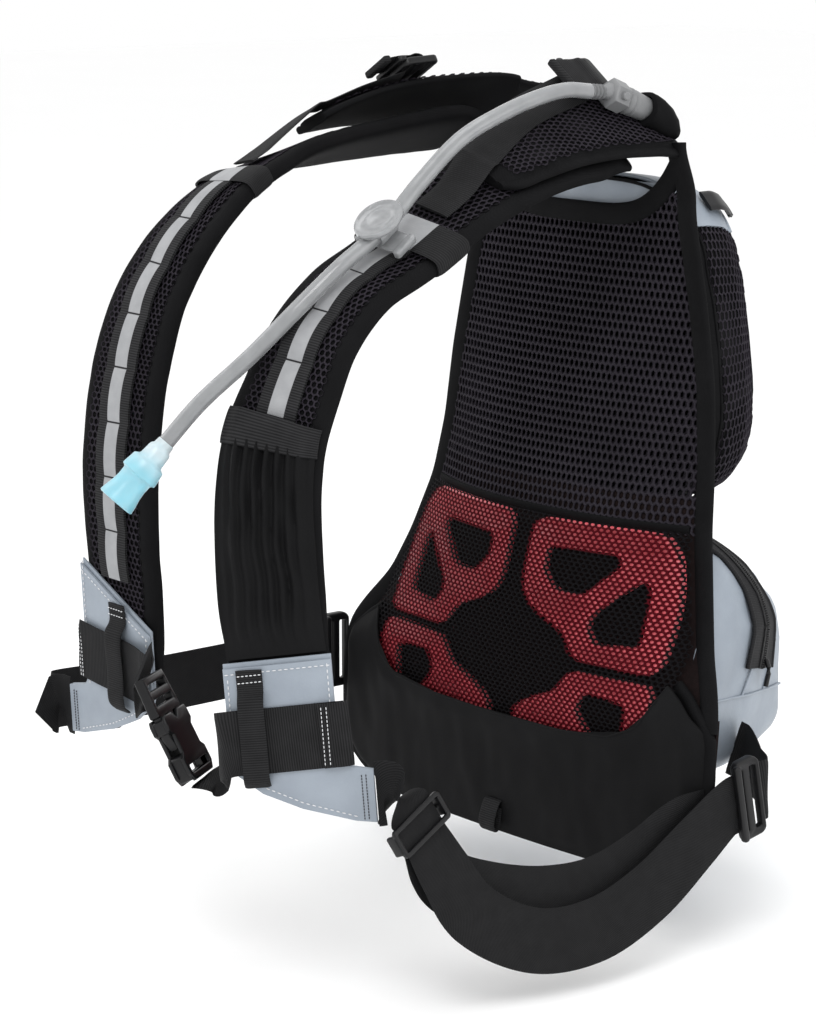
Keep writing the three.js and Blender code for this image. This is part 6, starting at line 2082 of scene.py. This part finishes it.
def side_route(side, start, end, rows):
    """A strap's rows between two ends, straight for a few millimetres at both."""
    line = [(start["point"], start["wide"]), (start["point"] + start["way"] * END_STRAIGHT, start["wide"])]
    for row in rows:
        p = mix(start["point"], end["point"], row["along"])
        line.append((p + vec(side * row["bow"] * SIDE_BOW, 0, -row["sag"] * SIDE_SAG), row["wide"]))
    line.append((end["point"] - end["way"] * END_STRAIGHT, end["wide"]))
    line.append((end["point"], end["wide"]))
    return line


LEFT_OUTER = side_route(1, beside_wing(1), beside_lock(1, -1), SIDE_LEFT_OUTER)
RIGHT_LINE = side_route(-1, beside_wing(-1), beside_lock(-1, -1), SIDE_RIGHT)
SLIDER_AT = {1: 0.25, -1: 0.5}
SLIDER_BAR = 2.4
SLIDER_OFF = WEB_THICK / 2 + 2 * GAP + SLIDER_BAR / 2


def slider_frame(rows, place):
    path = Path([r[0] for r in rows])
    k = place * (len(rows) - 1)
    a = min(len(rows) - 2, int(k))
    along = path.tangent(place)
    side = mix(vec(*rows[a][1]), vec(*rows[a + 1][1]), k - a)
    across = unit(side - along * np.dot(side, along))
    return {"origin": path.point(place), "along": along, "across": across, "face": np.cross(across, along)}


def make_slider(name, rows, place, length):
    """A tri-glide: an outer frame on one side of the webbing and its middle bar on the other."""
    f = slider_frame(rows, place)
    seat = (f["origin"], f["across"], f["along"])
    reach = BELT_WEB / 2 + 5
    post = reach - 1.6
    shape = Shape()
    hole = rounded_box(BELT_WEB + 5, length - 6, 1.5)
    shape.plate(rounded_box(2 * reach, length, 3), [hole], 3.2, 1.0, seat, lift=-SLIDER_OFF)
    for x in (-1, 1):
        shape.plate(rounded_box(3.2, length * 0.7, 1.2, x=x * post), [], 2 * SLIDER_OFF + 2.4, 0.8, seat)
    bar = [f["origin"] + f["across"] * x * post + f["face"] * SLIDER_OFF for x in np.linspace(-1, 1, 12)]
    shape.tube(bar, 1.5, 12, flat=0.8, up=tuple(f["face"]))
    return shape.piece(name, [BLACK], 40)


def left_inner_rows():
    f = slider_frame(LEFT_OUTER, SLIDER_AT[1])
    start = f["origin"] + f["along"] * (SLIDER_BAR * 0.8 + 2 * GAP) + f["face"] * SLIDER_OFF
    x = PANEL_HALF - 4
    z = panel_z(0.9)
    end = vec(x, float(panel_y(x, z)) - 4.0, z)
    return side_route(
        1, {"point": start, "way": f["along"], "wide": f["across"]},
        {"point": end, "way": vec(0, 1, 0), "wide": vec(0, 0, 1)}, SIDE_LEFT_INNER,
    )


def left_stub_rows():
    angle, deep = -20, 0.45
    here = bag_point(LOWER_BAG, angle, deep)
    round_way = unit(bag_point(LOWER_BAG, angle + 0.5, deep) - bag_point(LOWER_BAG, angle - 0.5, deep))
    back = bag_point(LOWER_BAG, angle, deep + 0.01) - bag_point(LOWER_BAG, angle, deep - 0.01)
    out = unit(np.cross(back, round_way))
    seat = {"point": here + out * 2 * GAP, "way": -out, "wide": round_way}
    return side_route(1, beside_lock(1, 1, 2 * GAP), seat, SIDE_LEFT_STUB)


def make_lock(side, word):
    """A ladder lock: a curved plate with two webbing slots and a lip."""
    centre, along = lock_place(side)
    seat = (centre, vec(0, 0, 1), along)
    shape = Shape()
    windows = slots(BELT_WEB + 3, 1.2, 5.2, -5.2)
    points, faces = plate(rounded_box(BELT_WEB + 14, LOCK_LENGTH, 5), windows, LOCK_THICK, 1.5)
    points[:, 2] -= 2.2 * ((points[:, 1] / LOCK_LENGTH * 2) ** 2 - 0.4)
    shape.add(placed(points, *seat), faces)
    lip = rounded_box(BELT_WEB + 12, 5, 2.2, y=-LOCK_LENGTH / 2 + 1)
    shape.plate(lip, [], 4.4, 1.4, seat, lift=-3.4)
    return shape.piece(f"side_adjuster_{word}_moulded", [BLACK], 40)


def ribbon_piece(name, rows, material):
    shape = Shape()
    shape.ribbon(rows, BELT_WEB, WEB_THICK, 14)
    return shape.piece(name, [material], 50)


# Assembly

def build():
    studio()
    sealed = keep(make_connector(), "grey_plastic", "tube_connector")
    valve = keep(make_valve(), "blue_silicone", "bite_valve")
    tube = keep(make_hose(), "clear_hose", "drink_tube")
    points = hose.sampled(240) * MM
    float(distances(points)[-1])
    keep(make_clip(), "clear_plastic", "tube_clip")
    keep(make_sleeve(), "black_cloth", "hose_port_sleeve")

    face, back = make_panel_net()
    keep(face, "hex_mesh", "back_panel")
    keep(back, "hex_mesh")
    keep(make_binding(), "black_cloth", "panel_binding")
    keep(make_base(), "black_cloth", "lumbar_base")
    keep(make_lumbar_net(), "fine_net", "lumbar_net")
    for side, word in SIDES:
        for lower in (False, True):
            pad, node = make_pad(side, word, lower)
            keep(pad, "red_foam", node)
    pocket = keep(make_pocket(), "stretch_cloth", "lower_pocket")
    keep(make_wing_binding(), "black_cloth")
    keep(make_bottom_loop(), "webbing", "bottom_loop")

    seams = [(0.16, -60, 240), (0.8, -60, 240)]
    upper = make_bag("upper_bag_cloth", UPPER_BAG, BLACK_CLOTH, UPPER_SEED, seams)
    keep(upper, "black_cloth", "upper_bag")
    lower = make_bag("lower_bag_coated", LOWER_BAG, COATED, LOWER_SEED, [(0.97, 0, 360)])
    keep(lower, "coated_cloth", "lower_bag")
    for net in make_gusset():
        keep(net, "hex_mesh")
    tape, coil = make_zip()
    keep(tape, "zip_tape", "bag_zip")
    keep(coil, "black_plastic")
    keep(make_bag_seams(), "coated_cloth")
    cover = keep(make_cover(), "coated_cloth", "top_cover")

    keep(make_yoke(), "black_cloth", "neck_yoke")
    keep(make_yoke_net(), "hex_mesh")
    for side, word in SIDES:
        keep(make_tag(side, word), "black_plastic", f"bag_tag_{word}")
        keep(make_strap(side, word), "black_cloth", f"shoulder_strap_{word}")
        keep(make_strap_net(side, word), "hex_mesh")
        keep(make_daisy(side, word), "webbing", f"strap_webbing_{word}")
        keep(make_band(side, word), "webbing", f"cross_band_{word}")
        keep(make_lifter(side, word), "webbing", f"lifter_strap_{word}")
        keep(make_lifter_buckle(side, word), "black_plastic", f"lifter_buckle_{word}")
        tab, white, dark = make_tab(side, word)
        keep(tab, "coated_cloth", f"strap_tab_{word}")
        keep(white, "webbing")
        keep(dark, "webbing")
        keeper, white = make_keeper(side, word)
        keep(keeper, "webbing", f"keeper_{word}")
        keep(white, "webbing")
        belt, white = make_belt(side, word)
        keep(belt, "webbing", f"belt_web_{word}")
        keep(white, "webbing")
        keep(make_lock(side, word), "black_plastic", f"side_adjuster_{word}")
    gathered = keep(make_strap_pocket(), "stretch_cloth", "strap_pocket_left")
    keep(make_pocket_band(), "webbing", "pocket_band_left")
    keep(make_buckle_male(), "black_plastic", "buckle_male")
    keep(make_buckle_female(), "black_plastic", "buckle_female")
    for node, rows, kind, finish in (
        ("side_strap_left", LEFT_OUTER, "twill", TWILL),
        ("side_return_left", left_inner_rows(), "twill", TWILL),
        ("side_stub_left", left_stub_rows(), "web", WEB),
        ("side_strap_right", RIGHT_LINE, "twill", TWILL),
    ):
        keep(ribbon_piece(f"{node}_{kind}", rows, finish), "webbing", node)
    for (side, word), rows, length in zip(SIDES, (LEFT_OUTER, RIGHT_LINE), (18, 22)):
        slider = make_slider(f"side_slider_{word}_frame", rows, SLIDER_AT[side], length)
        keep(slider, "black_plastic", f"side_slider_{word}")


build()
